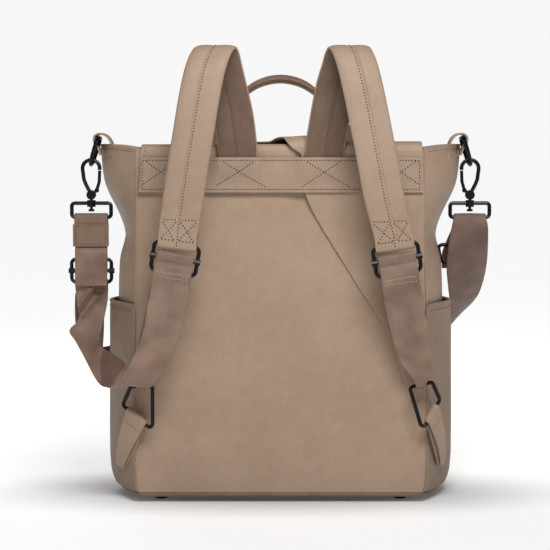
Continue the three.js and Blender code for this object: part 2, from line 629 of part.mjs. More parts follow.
const topTurn = [[LX, HOOK_Y + 3.4, 209, 33], ...lowTurn];
const topGrid = topTurn.map(([x, y, z, w]) => [-0.5, 0, 0.5].map((k) => V(x + k * w, y, z)));
const endRows = tilted([[0, -REACH, -21.5, 37], ...around(0, 0, -14, REACH, 0, 180, 36, 8), [0, REACH, -22, 37]], SLIDER_LEFT, TILT);
const tiltVector = V(Math.cos((TILT * Math.PI) / 180), 0, -Math.sin((TILT * Math.PI) / 180));
const endGrid = endRows.map(([x, y, z, w]) => [-0.5, 0, 0.5].map((k) => V(x, y, z).addScaledVector(tiltVector, k * w)));
const bandGrid = band(BAND, 2, 3);
add("crossbody_band_left", sheet([...topGrid, ...bandGrid, ...endGrid], WEB_THICK), webbing);

// Band on the right: round the base loop, down past the pocket and behind the bag to the left slider's side
const BACK_BAND = [
  [174.5, 38.6, 277, 211.5, 38.6, 277],
  [172, 45, 257, 213, 49, 259],
  [172, 64, 234, 212, 71, 237],
  [177, 84, 210, 208, 96, 216],
  [182.5, 104, 186, 203, 122, 199],
  [180, 130, 162, 193, 144, 182],
  [166, 154, 142, 176, 161, 172],
  [130, 167, 124, 136, 170, 158],
  [70, 171, 112, 73, 173, 147],
  [0, 173, 106, 0, 174.5, 141],
  [-70, 170, 106, -73, 172, 141],
  [-130, 162, 108, -136, 166, 142],
  [-166, 147, 110, -176, 154, 143],
  [-186, 122, 112, -198, 128, 142],
  [-190.6, 98, 116, -204, 98, 146],
  [-187.4, 80, 134, -210, 74, 158],
  [-184, 68, 164, -212.5, 64, 170],
  [-182.6, 61, 190, -213, 60, 190],
  [-181, 55, 207, -212, 55, 207],
];
const rightTop = [[HOOK_X, HOOK_Y + REACH, 276, 34], ...around(HOOK_X, HOOK_Y, BASE_LOOP_LOW, REACH, 180, 0, 32.5, 6)]
  .map(([x, y, z, w]) => [-0.5, 0, 0.5].map((k) => V(x + k * w, y, z)));
const rightGrid = [...rightTop, ...band(BACK_BAND, 2, 3)];
add("crossbody_band_right", sheet(rightGrid, WEB_THICK), webbing);

// Handle: strap that stands over the far edge, flat at its ends and folded at the grip
// x, y, z of the middle line, width, thickness, turn of its width from X towards Y in degrees
const HANDLE = [
  [-60.5, 0, 332, 27, 2.6, 0],
  [-60.5, 0, 348, 27, 2.6, 0],
  [-60.3, 0, 366, 27, 2.8, 0],
  [-57.5, 0, 385, 25, 3, 30],
  [-49, 0, 403, 22, 4.5, 62],
  [-36, 0, 417, 19, 7.5, 84],
  [-20, 0, 426.5, 18, 9, 90],
  [0, 0, 430.2, 18, 9.4, 90],
  [20, 0, 426.5, 18, 9, 90],
  [36, 0, 417, 19, 7.5, 96],
  [50, 0, 403, 22, 4.5, 118],
  [61, 0, 385, 25, 3, 150],
  [64.5, 0, 366, 27, 2.8, 180],
  [64.8, 0, 348, 27, 2.6, 180],
  [64.8, 0, 332, 27, 2.6, 180],
];
function handle() {
  const rows = smooth(HANDLE, 2);
  const seat = frontY(RIM_Z) + SHEET / 2 + GAP + HANDLE[0][4] / 2 + 0.6;
  const leftY = seat + TOP_OFF, rightY = seat + WRAP_OFF;
  const grid = rows.map(([x, , z, width, , turn]) => {
    const foot = x < 0 ? leftY : rightY;
    const low = Math.max(0, (352 - z) * 0.14);
    const lift = Math.min(1, Math.max(0, (z - 352) / 70));
    const y = foot + low + (128 - foot) * lift;
    const a = (turn * Math.PI) / 180;
    return [-0.5, -0.17, 0.17, 0.5].map((k) => V(x + k * width * Math.cos(a), y + k * width * Math.sin(a), z));
  });
  return sheet(grid, (i, j) => rows[i][4] * (j === 0 || j === 3 ? 0.5 : 1));
}
add("handle", handle(), leather);

// Four studs under the base
const FOOT = [["near", 25], ["far", 108]];
for (const [side, word] of [[-1, "left"], [1, "right"]])
  for (const [depthWord, y] of FOOT) {
    const profile = [[5.4, 0], [7.2, 1.4], [7.2, 3], [6, 4.3]].map(([r, z]) => new THREE.Vector2(r, z));
    const rings = profile.map((p) => Array.from({ length: 12 }, (_, k) => {
      const a = (2 * Math.PI * k) / 12;
      return V(side * 122 + p.x * Math.cos(a), y + p.x * Math.sin(a), p.y);
    }));
    add("foot_" + depthWord + "_" + word, loft(rings), metal);
  }

// The origin goes to the middle of the box's floor.
const box = new THREE.Box3().setFromObject(root, true);
root.position.set(-(box.min.x + box.max.x) / 2, -(box.min.y + box.max.y) / 2, -box.min.z);
root.updateMatrixWorld(true);
export default root;
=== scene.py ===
import math

import bpy
import numpy as np
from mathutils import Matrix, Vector


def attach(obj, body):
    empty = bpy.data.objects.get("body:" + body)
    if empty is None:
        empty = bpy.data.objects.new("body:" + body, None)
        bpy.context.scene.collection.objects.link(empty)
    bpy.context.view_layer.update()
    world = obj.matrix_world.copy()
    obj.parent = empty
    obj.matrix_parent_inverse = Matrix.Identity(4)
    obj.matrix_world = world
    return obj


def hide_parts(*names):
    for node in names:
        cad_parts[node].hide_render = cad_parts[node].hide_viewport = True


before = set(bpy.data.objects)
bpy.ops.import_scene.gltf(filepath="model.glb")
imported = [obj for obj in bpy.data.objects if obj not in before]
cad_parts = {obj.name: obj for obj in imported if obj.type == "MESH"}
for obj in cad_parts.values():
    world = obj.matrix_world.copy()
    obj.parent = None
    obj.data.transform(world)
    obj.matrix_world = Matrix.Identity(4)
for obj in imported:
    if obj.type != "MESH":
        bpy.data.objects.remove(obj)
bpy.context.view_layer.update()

# The drawing is in millimetres, and SHIFT takes it to the frame.
SHIFT = np.array([0.825, -56.819, 0.0])
# The camera's distance and height in the drawing, its tilt, and its view in pixels
EYE_BACK = 1700
EYE_Z = 351
EYE_TILT = 4.07
EYE_COLUMN = 280.7
FOCAL = 1706
PICTURE = 550

# Numbers and curves
def lengths(points):
    """The length along a row of points, 0 at the first."""
    return np.concatenate([[0], np.cumsum(np.linalg.norm(np.diff(points, axis=0), axis=1))])

def catmull(table, count):
    """Rows of numbers joined by a smooth curve, count rows, evenly spaced by length."""
    p = np.array(table, float)
    if len(p) == 2:
        t = np.linspace(0, 1, count)[:, None]
        return p[0] * (1 - t) + p[1] * t
    ext = np.vstack([2 * p[0] - p[1], p, 2 * p[-1] - p[-2]])
    out = []
    steps = 24
    for i in range(1, len(ext) - 2):
        p0, p1, p2, p3 = ext[i - 1], ext[i], ext[i + 1], ext[i + 2]
        for k in range(steps):
            t = k / steps
            out.append(0.5 * (2 * p1 + (p2 - p0) * t + (2 * p0 - 5 * p1 + 4 * p2 - p3) * t * t
                              + (3 * p1 - p0 - 3 * p2 + p3) * t ** 3))
    out.append(ext[-2])
    out = np.array(out)
    length = lengths(out[:, :3])
    want = np.linspace(0, length[-1], count)
    return np.stack([np.interp(want, length, out[:, c]) for c in range(out.shape[1])], axis=1)

def unit(v):
    v = np.asarray(v, float)
    n = np.linalg.norm(v, axis=-1, keepdims=True)
    return v / np.maximum(n, 1e-9)

def smoothstep(x, a, b):
    t = np.clip((x - a) / (b - a), 0, 1)
    return t * t * (3 - 2 * t)

def bump_noise(p, scale, seed):
    """Slow wave noise over points, -1 to 1, the same each run."""
    r = np.random.default_rng(seed)
    total = np.zeros(p.shape[:-1])
    for _ in range(7):
        k = r.normal(size=3)
        k = k / np.linalg.norm(k) * (2 * math.pi / scale) * r.uniform(0.6, 1.6)
        total += np.sin(p @ k + r.uniform(0, 6.28))
    return total / 4.0

# Meshes from grids, in millimetres of the part's own drawing
def make_object(name, verts, faces, uvs=None, material=None, sharp=40):
    mesh = bpy.data.meshes.new(name)
    pts = (np.asarray(verts, float) + SHIFT) / 1000.0
    mesh.from_pydata(pts.tolist(), [], faces)
    if uvs is not None:
        layer = mesh.uv_layers.new(name="UVMap")
        uv = np.asarray(uvs, float)
        loops = np.empty(len(mesh.loops), dtype=np.int32)
        mesh.loops.foreach_get("vertex_index", loops)
        layer.data.foreach_set("uv", uv[loops].ravel())
    mesh.polygons.foreach_set("use_smooth", [True] * len(mesh.polygons))
    mesh.update()
    mesh.set_sharp_from_angle(angle=math.radians(sharp))
    obj = bpy.data.objects.new(name, mesh)
    bpy.context.scene.collection.objects.link(obj)
    if material:
        mesh.materials.append(material)
    return obj

def normals_of(grid):
    du = np.gradient(grid, axis=0)
    dv = np.gradient(grid, axis=1)
    return unit(np.cross(du, dv))

class Slab:
    """A sheet with thickness on a grid of mid-surface points, with rounded long edges."""

    def __init__(self, name, grid, thick, material, face=(0.0, (0, -1, 0)), edge=3, sharp=50):
        grid = np.asarray(grid, float)
        rows, cols = grid.shape[:2]
        t = np.broadcast_to(np.asarray(thick, float), (rows, cols))
        # The rounded edges stay inside the width that the grid gives.
        for col, nxt in ((0, 1), (-1, -2)):
            away = grid[:, nxt] - grid[:, col]
            gap = np.linalg.norm(away, axis=1, keepdims=True)
            step = np.minimum(t[:, col, None] / 2, gap * 0.7)
            grid[:, col] = grid[:, col] + away / np.maximum(gap, 1e-6) * step
        self.grid = grid
        n = normals_of(grid)
        middle = int(face[0] * (rows - 1))
        if np.dot(n[middle, cols // 2], face[1]) < 0:
            n = -n
        self.normal = n
        self.thick = t
        half = t[..., None] / 2
        out, inn = grid + n * half, grid - n * half
        left = unit(grid[:, 0] - grid[:, 1])
        right = unit(grid[:, -1] - grid[:, -2])
        loops = []
        across = np.cumsum(np.linalg.norm(np.diff(grid, axis=1), axis=2), axis=1)
        width = np.concatenate([np.zeros((rows, 1)), across], axis=1)
        along = lengths(grid[:, cols // 2])
        for k in range(cols):
            loops.append((out[:, k], width[:, k]))
        for k in range(1, edge + 1):
            a = math.pi * k / (edge + 1)
            h = t[:, -1, None] / 2
            loops.append((grid[:, -1] + right * h * math.sin(a) + n[:, -1] * h * math.cos(a), width[:, -1]))
        for k in range(cols - 1, -1, -1):
            loops.append((inn[:, k], width[:, k]))
        for k in range(1, edge + 1):
            a = math.pi * k / (edge + 1)
            h = t[:, 0, None] / 2
            loops.append((grid[:, 0] + left * h * math.sin(a) - n[:, 0] * h * math.cos(a), width[:, 0]))
        m = len(loops)
        verts = np.stack([l[0] for l in loops], axis=1).reshape(-1, 3)
        uvs = np.stack([np.stack([l[1], along], axis=1) for l in loops], axis=1).reshape(-1, 2)
        faces = []
        for i in range(rows - 1):
            for j in range(m):
                a, b = i * m + j, i * m + (j + 1) % m
                faces.append((a, b, b + m, a + m))
        for row, rev in ((0, True), (rows - 1, False)):
            base = row * m
            caps = []
            for j in range(cols - 1):
                low = 2 * cols + edge - 1 - j
                caps.append((base + j, base + j + 1, base + low - 1, base + low))
            caps.append(tuple(base + cols - 1 + k for k in range(edge + 2)))
            caps.append(tuple(base + (2 * cols + edge - 1 + k) % m for k in range(edge + 2)))
            for c in caps:
                faces.append(tuple(reversed(c)) if not rev else c)
        self.obj = make_object(name, verts, self.outward(verts, faces), uvs, material, sharp=sharp)

    @staticmethod
    def outward(verts, faces):
        v = np.asarray(verts)
        quads = np.array([f for f in faces if len(f) == 4])
        a, b, c, d = (v[quads[:, k]] for k in range(4))
        total = (a * (np.cross(b, c) + np.cross(c, d))).sum()
        return faces if total > 0 else [tuple(reversed(f)) for f in faces]

    def at(self, u, v, lift=0.0, back=False):
        """Points on the outer face, or the inner one, at u across and v along, both 0 to 1, arrays."""
        rows, cols = self.grid.shape[:2]
        u = np.clip(np.asarray(u, float), 0, 1) * (cols - 1)
        v = np.clip(np.asarray(v, float), 0, 1) * (rows - 1)
        j = np.minimum(u.astype(int), cols - 2)
        i = np.minimum(v.astype(int), rows - 2)
        fu, fv = (u - j)[..., None], (v - i)[..., None]

        def mix(a):
            near = a[i, j] * (1 - fu) + a[i, j + 1] * fu
            far = a[i + 1, j] * (1 - fu) + a[i + 1, j + 1] * fu
            return near * (1 - fv) + far * fv
        n = unit(mix(self.normal)) * (-1 if back else 1)
        return mix(self.grid) + n * (mix(self.thick[..., None]) / 2 + lift), n

def tube(name, path, radius, material, closed=False, sides=12):
    """A round wire or roll along a path."""
    p = np.asarray(path, float)
    n = len(p)
    if closed:
        tan = unit(np.roll(p, -1, 0) - np.roll(p, 1, 0))
    else:
        tan = unit(np.gradient(p, axis=0))
    ref = np.array([0.0, 1, 0]) if abs(tan[0][1]) < 0.8 else np.array([1.0, 0, 0])
    frames = []
    for i in range(n):
        ref = unit(ref - tan[i] * np.dot(ref, tan[i]))
        frames.append((ref, np.cross(tan[i], ref)))
    verts = []
    for i in range(n):
        for k in range(sides):
            a = 2 * math.pi * k / sides
            verts.append(p[i] + (frames[i][0] * math.cos(a) + frames[i][1] * math.sin(a)) * radius)
    faces = []
    for i in range(n if closed else n - 1):
        for k in range(sides):
            a, b = i * sides + k, i * sides + (k + 1) % sides
            c, d = ((i + 1) % n) * sides + k, ((i + 1) % n) * sides + (k + 1) % sides
            faces.append((a, b, d, c))
    if not closed:
        faces.append(tuple(range(sides))[::-1])
        faces.append(tuple((n - 1) * sides + k for k in range(sides)))
    return make_object(name, np.array(verts), Slab.outward(verts, faces), None, material)

def stitch_mesh(name, rows, material, pitch=3.3, length=2.1, width=0.42):
    """Threads along rows of (points, normals), their ends sunk in."""
    verts, faces = [], []
    for pts, nrm in rows:
        total = lengths(pts)
        count = max(1, int(total[-1] / pitch))
        for k in range(count):
            s = (k + 0.5) * total[-1] / count
            ends = []
            for d in (-0.5, -0.2, 0.2, 0.5):
                q = np.array([np.interp(s + d * length, total, pts[:, c]) for c in range(3)])
                m = unit(np.array([np.interp(s + d * length, total, nrm[:, c]) for c in range(3)]))
                ends.append((q, m))
            tangent = unit(ends[3][0] - ends[0][0])
            base = len(verts)
            for idx, (q, m) in enumerate(ends):
                w = width * (0.55 if idx in (0, 3) else 1.0)
                drop = -0.33 if idx in (0, 3) else -0.05
                side = unit(np.cross(tangent, m))
                for a in range(5):
                    ang = 2 * math.pi * a / 5
                    verts.append(q + m * (drop + w * math.cos(ang)) + side * w * math.sin(ang))
            for i in range(3):
                for a in range(5):
                    x, y = base + i * 5 + a, base + i * 5 + (a + 1) % 5
                    faces.append((x, x + 5, y + 5, y))
            faces.append(tuple(base + a for a in range(5)))
            faces.append(tuple(base + 15 + a for a in range(4, -1, -1)))
    return make_object(name, np.array(verts), faces, None, material, sharp=80)

# Materials
def new_material(name):
    m = bpy.data.materials.new(name)
    m.use_nodes = True
    return m, m.node_tree, m.node_tree.nodes["Principled BSDF"]

def lin(r, g, b):
    """A screen colour, 0 to 255, as linear light."""
    def f(c):
        c /= 255.0
        return c / 12.92 if c <= 0.04045 else ((c + 0.055) / 1.055) ** 2.4
    return (f(r), f(g), f(b), 1.0)

def add(tree, kind, links=None, values=None, **settings):
    """A new node: sockets that feed its inputs, constants for its inputs, and its settings."""
    node = tree.nodes.new(kind)
    for key, value in settings.items():
        setattr(node, key, value)
    for key, value in (values or {}).items():
        node.inputs[key].default_value = value
    for key, socket in (links or {}).items():
        tree.links.new(socket, node.inputs[key])
    return node

def ramp(tree, fac, dark, light, low=0.0, high=1.0):
    node = add(tree, "ShaderNodeValToRGB", {"Fac": fac})
    for element, place, colour in zip(node.color_ramp.elements, (low, high), (dark, light)):
        element.position = place
        element.color = colour
    return node.outputs["Color"]

def leather(name, light, dark, rough=0.5, grain=0.35):
    """Slow and medium changes of tone, pits from small cells, and a fine bumpy grain."""
    m, tree, bsdf = new_material(name)
    place = add(tree, "ShaderNodeTexCoord").outputs["Object"]
    slow = add(tree, "ShaderNodeTexNoise", {"Vector": place}, {"Scale": 14.0, "Detail": 3.0})
    medium = add(tree, "ShaderNodeTexNoise", {"Vector": place},
                 {"Scale": 85.0, "Detail": 5.0, "Roughness": 0.65})
    tone = add(tree, "ShaderNodeMath", {0: medium.outputs["Fac"]}, {1: 0.8, 2: -0.4},
               operation="MULTIPLY_ADD")
    both = add(tree, "ShaderNodeMath", {0: slow.outputs["Fac"], 1: tone.outputs["Value"]}, operation="ADD")
    colour = ramp(tree, both.outputs["Value"], dark, light, 0.32, 0.68)
    cells = add(tree, "ShaderNodeTexVoronoi", {"Vector": place}, {"Scale": 1150.0})
    fine = add(tree, "ShaderNodeTexNoise", {"Vector": place}, {"Scale": 520.0, "Detail": 4.0})
    shade = add(tree, "ShaderNodeMapRange", {"Value": cells.outputs["Distance"]},
                {"From Min": 0.0, "From Max": 0.75, "To Min": 1.05, "To Max": 0.86})
    pits = add(tree, "ShaderNodeMix", {"A": colour, "B": shade.outputs["Result"]}, {"Factor": 0.65},
               data_type="RGBA", blend_type="MULTIPLY")
    tree.links.new(pits.outputs["Result"], bsdf.inputs["Base Color"])
    polish = add(tree, "ShaderNodeMapRange", {"Value": fine.outputs["Fac"]},
                 {"To Min": rough - 0.07, "To Max": rough + 0.09})
    tree.links.new(polish.outputs["Result"], bsdf.inputs["Roughness"])
    height = add(tree, "ShaderNodeMath", {0: cells.outputs["Distance"], 2: fine.outputs["Fac"]}, {1: -0.6},
                 operation="MULTIPLY_ADD")
    bump = add(tree, "ShaderNodeBump", {"Height": height.outputs["Value"]},
               {"Strength": grain, "Distance": 0.0008})
    tree.links.new(bump.outputs["Normal"], bsdf.inputs["Normal"])
    bsdf.inputs["Specular IOR Level"].default_value = 0.3
    return m

def twill(name, light, dark, rough=0.72):
    """Webbing: diagonal ribs crossed by finer ones, with slow changes of tone."""
    m, tree, bsdf = new_material(name)
    uv = add(tree, "ShaderNodeUVMap", uv_map="UVMap").outputs["UV"]
    turn = add(tree, "ShaderNodeMapping", {"Vector": uv}, {"Rotation": (0, 0, math.radians(35))})
    wave = add(tree, "ShaderNodeTexWave", {"Vector": turn.outputs["Vector"]},
               {"Scale": 0.2512, "Distortion": 0.5, "Detail": 1.0}, wave_type="BANDS", bands_direction="Y")
    cross = add(tree, "ShaderNodeTexWave", {"Vector": uv}, {"Scale": 0.3925},
                wave_type="BANDS", bands_direction="Y")
    slow = add(tree, "ShaderNodeTexNoise", {"Vector": uv}, {"Scale": 0.035, "Detail": 2.0})
    weave = add(tree, "ShaderNodeMath", {0: cross.outputs["Fac"], 2: wave.outputs["Fac"]}, {1: 0.3},
                operation="MULTIPLY_ADD")
    tone = add(tree, "ShaderNodeMath", {0: weave.outputs["Value"], 2: slow.outputs["Fac"]}, {1: 0.28},
               operation="MULTIPLY_ADD")
    tree.links.new(ramp(tree, tone.outputs["Value"], dark, light, 0.35, 0.95), bsdf.inputs["Base Color"])
    bsdf.inputs["Roughness"].default_value = rough
    bsdf.inputs["Sheen Weight"].default_value = 0.15
    bump = add(tree, "ShaderNodeBump", {"Height": weave.outputs["Value"]},
               {"Strength": 0.4, "Distance": 0.00035})
    tree.links.new(bump.outputs["Normal"], bsdf.inputs["Normal"])
    return m

def metal(name):
    m, tree, bsdf = new_material(name)
    place = add(tree, "ShaderNodeTexCoord").outputs["Object"]
    noise = add(tree, "ShaderNodeTexNoise", {"Vector": place}, {"Scale": 240.0, "Detail": 3.0})
    noise = noise.outputs["Fac"]
    tree.links.new(ramp(tree, noise, lin(28, 28, 30), lin(46, 46, 49)), bsdf.inputs["Base Color"])
    rough = add(tree, "ShaderNodeMapRange", {"Value": noise}, {"To Min": 0.26, "To Max": 0.42})
    tree.links.new(rough.outputs["Result"], bsdf.inputs["Roughness"])
    bsdf.inputs["Metallic"].default_value = 0.85
    return m

def thread(name, colour):
    m, tree, bsdf = new_material(name)
    place = add(tree, "ShaderNodeTexCoord").outputs["Object"]
    noise = add(tree, "ShaderNodeTexNoise", {"Vector": place}, {"Scale": 900.0}).outputs["Fac"]
    dark = tuple(c * 0.7 for c in colour[:3]) + (1,)
    tree.links.new(ramp(tree, noise, dark, colour), bsdf.inputs["Base Color"])
    bsdf.inputs["Roughness"].default_value = 0.8
    return m

LEATHER = leather("leather_main", lin(177, 151, 129), lin(168, 142, 120), rough=0.46)
LEATHER_LIGHT = leather("leather_strap", lin(171, 147, 127), lin(163, 138, 118), rough=0.46)
# Darker webbing for the right band: painted shade, as that band faces down and away from the light
WEB_BACK_PAINTED_SHADE = twill("webbing_twill_painted_shade", lin(128, 103, 88), lin(82, 61, 50), rough=0.6)
# Darker leather for the side pockets: painted shade, for sides turned away from the light
LEATHER_POCKET_PAINTED_SHADE = leather("leather_pocket_painted_shade", lin(156, 133, 114), lin(145, 122, 104), rough=0.58)
# Darker leather for the straps' inner faces: painted shade, for the shadowed far legs where the inner face
# shows
LEATHER_STRAP_PAINTED_SHADE = leather("leather_strap_inside_painted_shade", lin(116, 94, 78), lin(102, 81, 67), rough=0.62)
LEATHER_BASE = leather("leather_base", lin(140, 116, 98), lin(128, 104, 88), rough=0.5)
LINING = leather("lining_cloth", lin(112, 90, 76), lin(98, 78, 66), rough=0.8, grain=0.2)
WEB = twill("webbing_twill", lin(152, 124, 106), lin(98, 74, 60), rough=0.6)
# Darker webbing: painted shade, for the shaded inside of the left hanging loop and the hidden back layer at
# the right
WEB_INSIDE_PAINTED_SHADE = twill("webbing_inside_painted_shade", lin(118, 88, 74), lin(98, 72, 60))
METAL = metal("hardware_black")
THREAD = thread("thread_brown", lin(84, 65, 52))
THREAD_LIGHT = thread("thread_light", lin(205, 188, 172))

def keep(obj, nodes=(), body="bag"):
    if nodes:
        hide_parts(*nodes)
    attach(obj, body)
    return obj

# Sizes of the body, as in the frame
RIM_Z = 359.0
BASE_Z = 10.0
WALL = 2.4
# Height, half width at the seams, half width at mid gusset, depth, and the far side's bulge
SECTIONS = np.array([
    [10.4, 143.2, 167.5, 135, 1], [20, 145.5, 169.4, 139, 3], [40, 146.5, 170, 141, 6],
    [80, 146.4, 170, 142, 8],
    [130, 146, 169.5, 143, 8], [200, 145, 168.5, 144, 6], [225, 144.6, 168, 145, 5],
    [242, 144, 166.5, 147, 4],
    [255, 143.9, 163, 149, 4], [267, 143.8, 160.4, 150, 4], [277, 143.6, 163.5, 148, 4],
    [290, 143.4, 168.5, 142, 3],
    [306, 143, 175.5, 136, 2], [321, 143, 180.8, 131, 1], [336, 143, 183.6, 128, 0],
    [RIM_Z, 143, 185.4, 126, 0]])

def column(z, c):
    return np.interp(z, SECTIONS[:, 0], SECTIONS[:, c])

def soft_column(z, c, width=5.0):
    return (column(z - width, c) + 2 * column(z, c) + column(z + width, c)) / 4.0

def gusset_x(z, share):
    half, mid = soft_column(z, 1), soft_column(z, 2)
    return half + (mid - half) * (1 - np.abs(2 * share - 1) ** 1.6)

def front_y(z):
    return column(z, 3) + column(z, 4)

def swell(x, z):
    """How far the strap side stands out between its seams."""
    across = 1 - np.clip(np.abs(x) / 143.0, 0, 1) ** 4
    return 2.2 * across * smoothstep(z, 14, 70) * (1 - smoothstep(z, 190, 300))

def rim_drop(x, y, z):
    """The panels' rim lies lower than the wings' tips."""
    wing = smoothstep(np.abs(x), 141, 172)
    return (-3.0 + 3.4 * wing) * smoothstep(z, 325, RIM_Z)

def body_loop(z, inset, panel=44, gusset=26):
    """The body's outline at height z, drawn in by inset."""
    half, depth, bulge = soft_column(z, 1), soft_column(z, 3), column(z, 4)
    t = np.linspace(-1, 1, panel, endpoint=False)
    back = np.stack([half * t, 0.0 * t], axis=1)
    share = np.linspace(0, 1, gusset, endpoint=False)
    right = np.stack([gusset_x(z, share), depth * share], axis=1)
    front = np.stack([-half * t, depth + bulge * (1 - t ** 2)], axis=1)
    left = np.stack([-gusset_x(z, 1 - share), depth * (1 - share)], axis=1)
    line = np.vstack([back, right, front, left])
    nxt, prv = np.roll(line, -1, 0), np.roll(line, 1, 0)
    d = unit(nxt - prv)
    line = line + np.stack([-d[:, 1], d[:, 0]], axis=1) * inset
    return np.column_stack([line, np.full(len(line), z)])

def closed_mesh(name, loops, material, sharp):
    """Loops of points joined one to the next, closed at both ends."""
    m = len(loops[0])
    verts = np.vstack(loops)
    faces = []
    for i in range(len(loops) - 1):
        for j in range(m):
            a, b = i * m + j, i * m + (j + 1) % m
            faces.append((a, b, b + m, a + m))
    faces.append(tuple(range(m))[::-1])
    faces.append(tuple((len(loops) - 1) * m + k for k in range(m)))
    return make_object(name, verts, Slab.outward(verts, faces), None, material, sharp=sharp)

LOW_ROWS, HIGH_ROWS = 6, 96

def build_body():
    zs = np.concatenate([np.linspace(BASE_Z + 0.4, 24, LOW_ROWS, endpoint=False),
                         np.linspace(24, RIM_Z, HIGH_ROWS)])
    outer = [body_loop(z, 0) for z in zs]
    for loop in outer:
        x, y, z = loop[:, 0], loop[:, 1], loop[:, 2]
        # Slow waves on the panels, and folds in the wings that run to the pinch.
        inside = np.clip(1 - np.abs(x) / 146, 0, 1) * (y < 4)
        loop[:, 1] -= inside.astype(bool) * swell(x, z)
        loop[:, 1] += 0.5 * np.clip(inside * 3, 0, 1) * bump_noise(loop, 110, 3)
        wing = (np.abs(x) > 145) * smoothstep(z, 215, 262) * (1 - smoothstep(z, 300, 350))
        ridge = (z - 348 - 0.05 * (np.abs(x) - 150)) / 2.6
        dent = np.exp(-ridge ** 2) * smoothstep(np.abs(x), 146, 154) * (y < 60)
        loop[:, 0] -= np.sign(x) * 1.6 * dent
        fold = np.sin((z - 268 + (y - 60) * 0.22) / 13.0)
        ends = np.clip((y - 8) / 30, 0, 1) * np.clip((depth_of(z) - y - 8) / 30, 0, 1)
        loop[:, 0] -= np.sign(x) * wing * 1.2 * fold * ends
    inner = [body_loop(z if k < len(zs) - 1 else z + 3, WALL) for k, z in enumerate(zs[::-1])]
    loops = outer + inner
    for loop in loops:
        loop[:, 2] += rim_drop(loop[:, 0], loop[:, 1], loop[:, 2])
    return closed_mesh("bag_shell", loops, LEATHER, 35)

def depth_of(z):
    return column(z, 3)

shell = keep(build_body(), ["bag_body"])
shell.data.materials.append(LINING)
# The inner loops come after the outer ones and show the lining. Each has 140 points.
first_inner = (LOW_ROWS + HIGH_ROWS) * 140
for poly in shell.data.polygons:
    if min(poly.vertices) >= first_inner:
        poly.material_index = 1

# Base: darker leather band with a piped upper edge
def build_base():
    rows = [(5.2, 6), (5.5, 3), (6.3, 0.9), (7.4, -0.2), (8.8, -0.5), (9.6, -0.35), (BASE_Z, 0.3)]
    loops = []
    for z, inset in rows:
        loop = body_loop(BASE_Z + 0.4, inset)
        loop[:, 2] = z
        loops.append(loop)
    return closed_mesh("base_cover", loops, LEATHER_BASE, 60)

keep(build_base(), ["base_panel"])
# Raised seams where the panels meet the gussets
for side, word in ((-1, "left"), (1, "right")):
    zs = np.linspace(BASE_Z + 1, 355.5, 90)
    near = np.array([[side * (soft_column(z, 1) + 0.25), -0.15, z] for z in zs])
    far = np.array([[side * (soft_column(z, 1) + 0.2), soft_column(z, 3) + 0.1, z] for z in zs])
    keep(tube("seam_near_" + word, near, 0.85, LEATHER, sides=8))
    keep(tube("seam_far_" + word, far, 0.85, LEATHER, sides=8))

# Folded rim of the wings with its stitch line
rim_rows = []
for side in (-1, 1):
    share = np.linspace(0.03, 0.97, 60)
    pts = np.stack([side * (gusset_x(RIM_Z - 3.6, share) + 0.05), soft_column(RIM_Z - 3.6, 3) * share,
                    np.full(60, RIM_Z - 3.6)], axis=1)
    pts[:, 2] += rim_drop(pts[:, 0], pts[:, 1], pts[:, 2])
    d = unit(np.gradient(pts, axis=0))
    nrm = unit(np.stack([d[:, 1], -d[:, 0], 0 * d[:, 0]], axis=1))
    nrm = nrm * np.sign((nrm[:, :1] * side) + 1e-9)
    rim_rows.append((pts, nrm))
keep(stitch_mesh("rim_stitches", rim_rows, THREAD))
for side, word in ((-1, "left"), (1, "right")):
    share = np.linspace(0.0, 1.0, 60)
    pts = np.stack([side * (gusset_x(RIM_Z, share) - 1.2), soft_column(RIM_Z, 3) * share,
                    np.full(60, RIM_Z + 0.1)], axis=1)
    pts[:, 2] += rim_drop(pts[:, 0], pts[:, 1], pts[:, 2])
    keep(tube("rim_fold_" + word, pts, 1.45, LEATHER, sides=10))

# Side pockets with a rolled rim
POCKET = np.array([[12, 2.2], [16, 3.6], [24, 5.0], [40, 5.8], [80, 6.0], [130, 6.0], [192, 6.0],
                   [201, 5.8]])

def build_pocket(side, word):
    zs = np.concatenate([np.linspace(11.4, 40, 14, endpoint=False), np.linspace(40, 198.6, 50)])
    share = np.linspace(0.0, 1.0, 44)
    rows = []
    for z in zs:
        off = np.interp(z, POCKET[:, 0], POCKET[:, 1])
        stand = 1.5 + off * np.sin(np.pi * share) ** 0.8
        wave = 0.5 * np.sin(share * 9 + z * 0.02) * smoothstep(z, 120, 190) * np.sin(np.pi * share)
        edge_y = -1.7 * (share < 0.01) + 1.7 * (share > 0.99)
        stand = np.where((share < 0.01) | (share > 0.99), 0.1, stand)
        x = side * (gusset_x(z, share) + stand + wave)
        rows.append(np.stack([x, soft_column(z, 3) * share + edge_y, np.full(44, z)], axis=1))
    grid = np.array(rows)
    # The pocket and its rim use the darker leather, painted shade
    s = Slab("pocket_" + word, grid, 2.0, LEATHER_POCKET_PAINTED_SHADE, face=(0.5, (side, 0, 0)))
    keep(s.obj, ["side_pocket_" + word])
    rim = grid[-1].copy()
    rim[:, 2] += 0.7
    keep(tube("pocket_rim_" + word, rim, 1.75, LEATHER_POCKET_PAINTED_SHADE, sides=12))
    # The stitches run 4.2 mm below the rim of a pocket 187 mm high.
    v = np.full(70, 1 - 4.2 / 187.0)
    u = np.linspace(0.015, 0.985, 70)
    keep(stitch_mesh("pocket_stitches_" + word, [s.at(u, v, 0.0)], THREAD))

build_pocket(-1, "left")
build_pocket(1, "right")

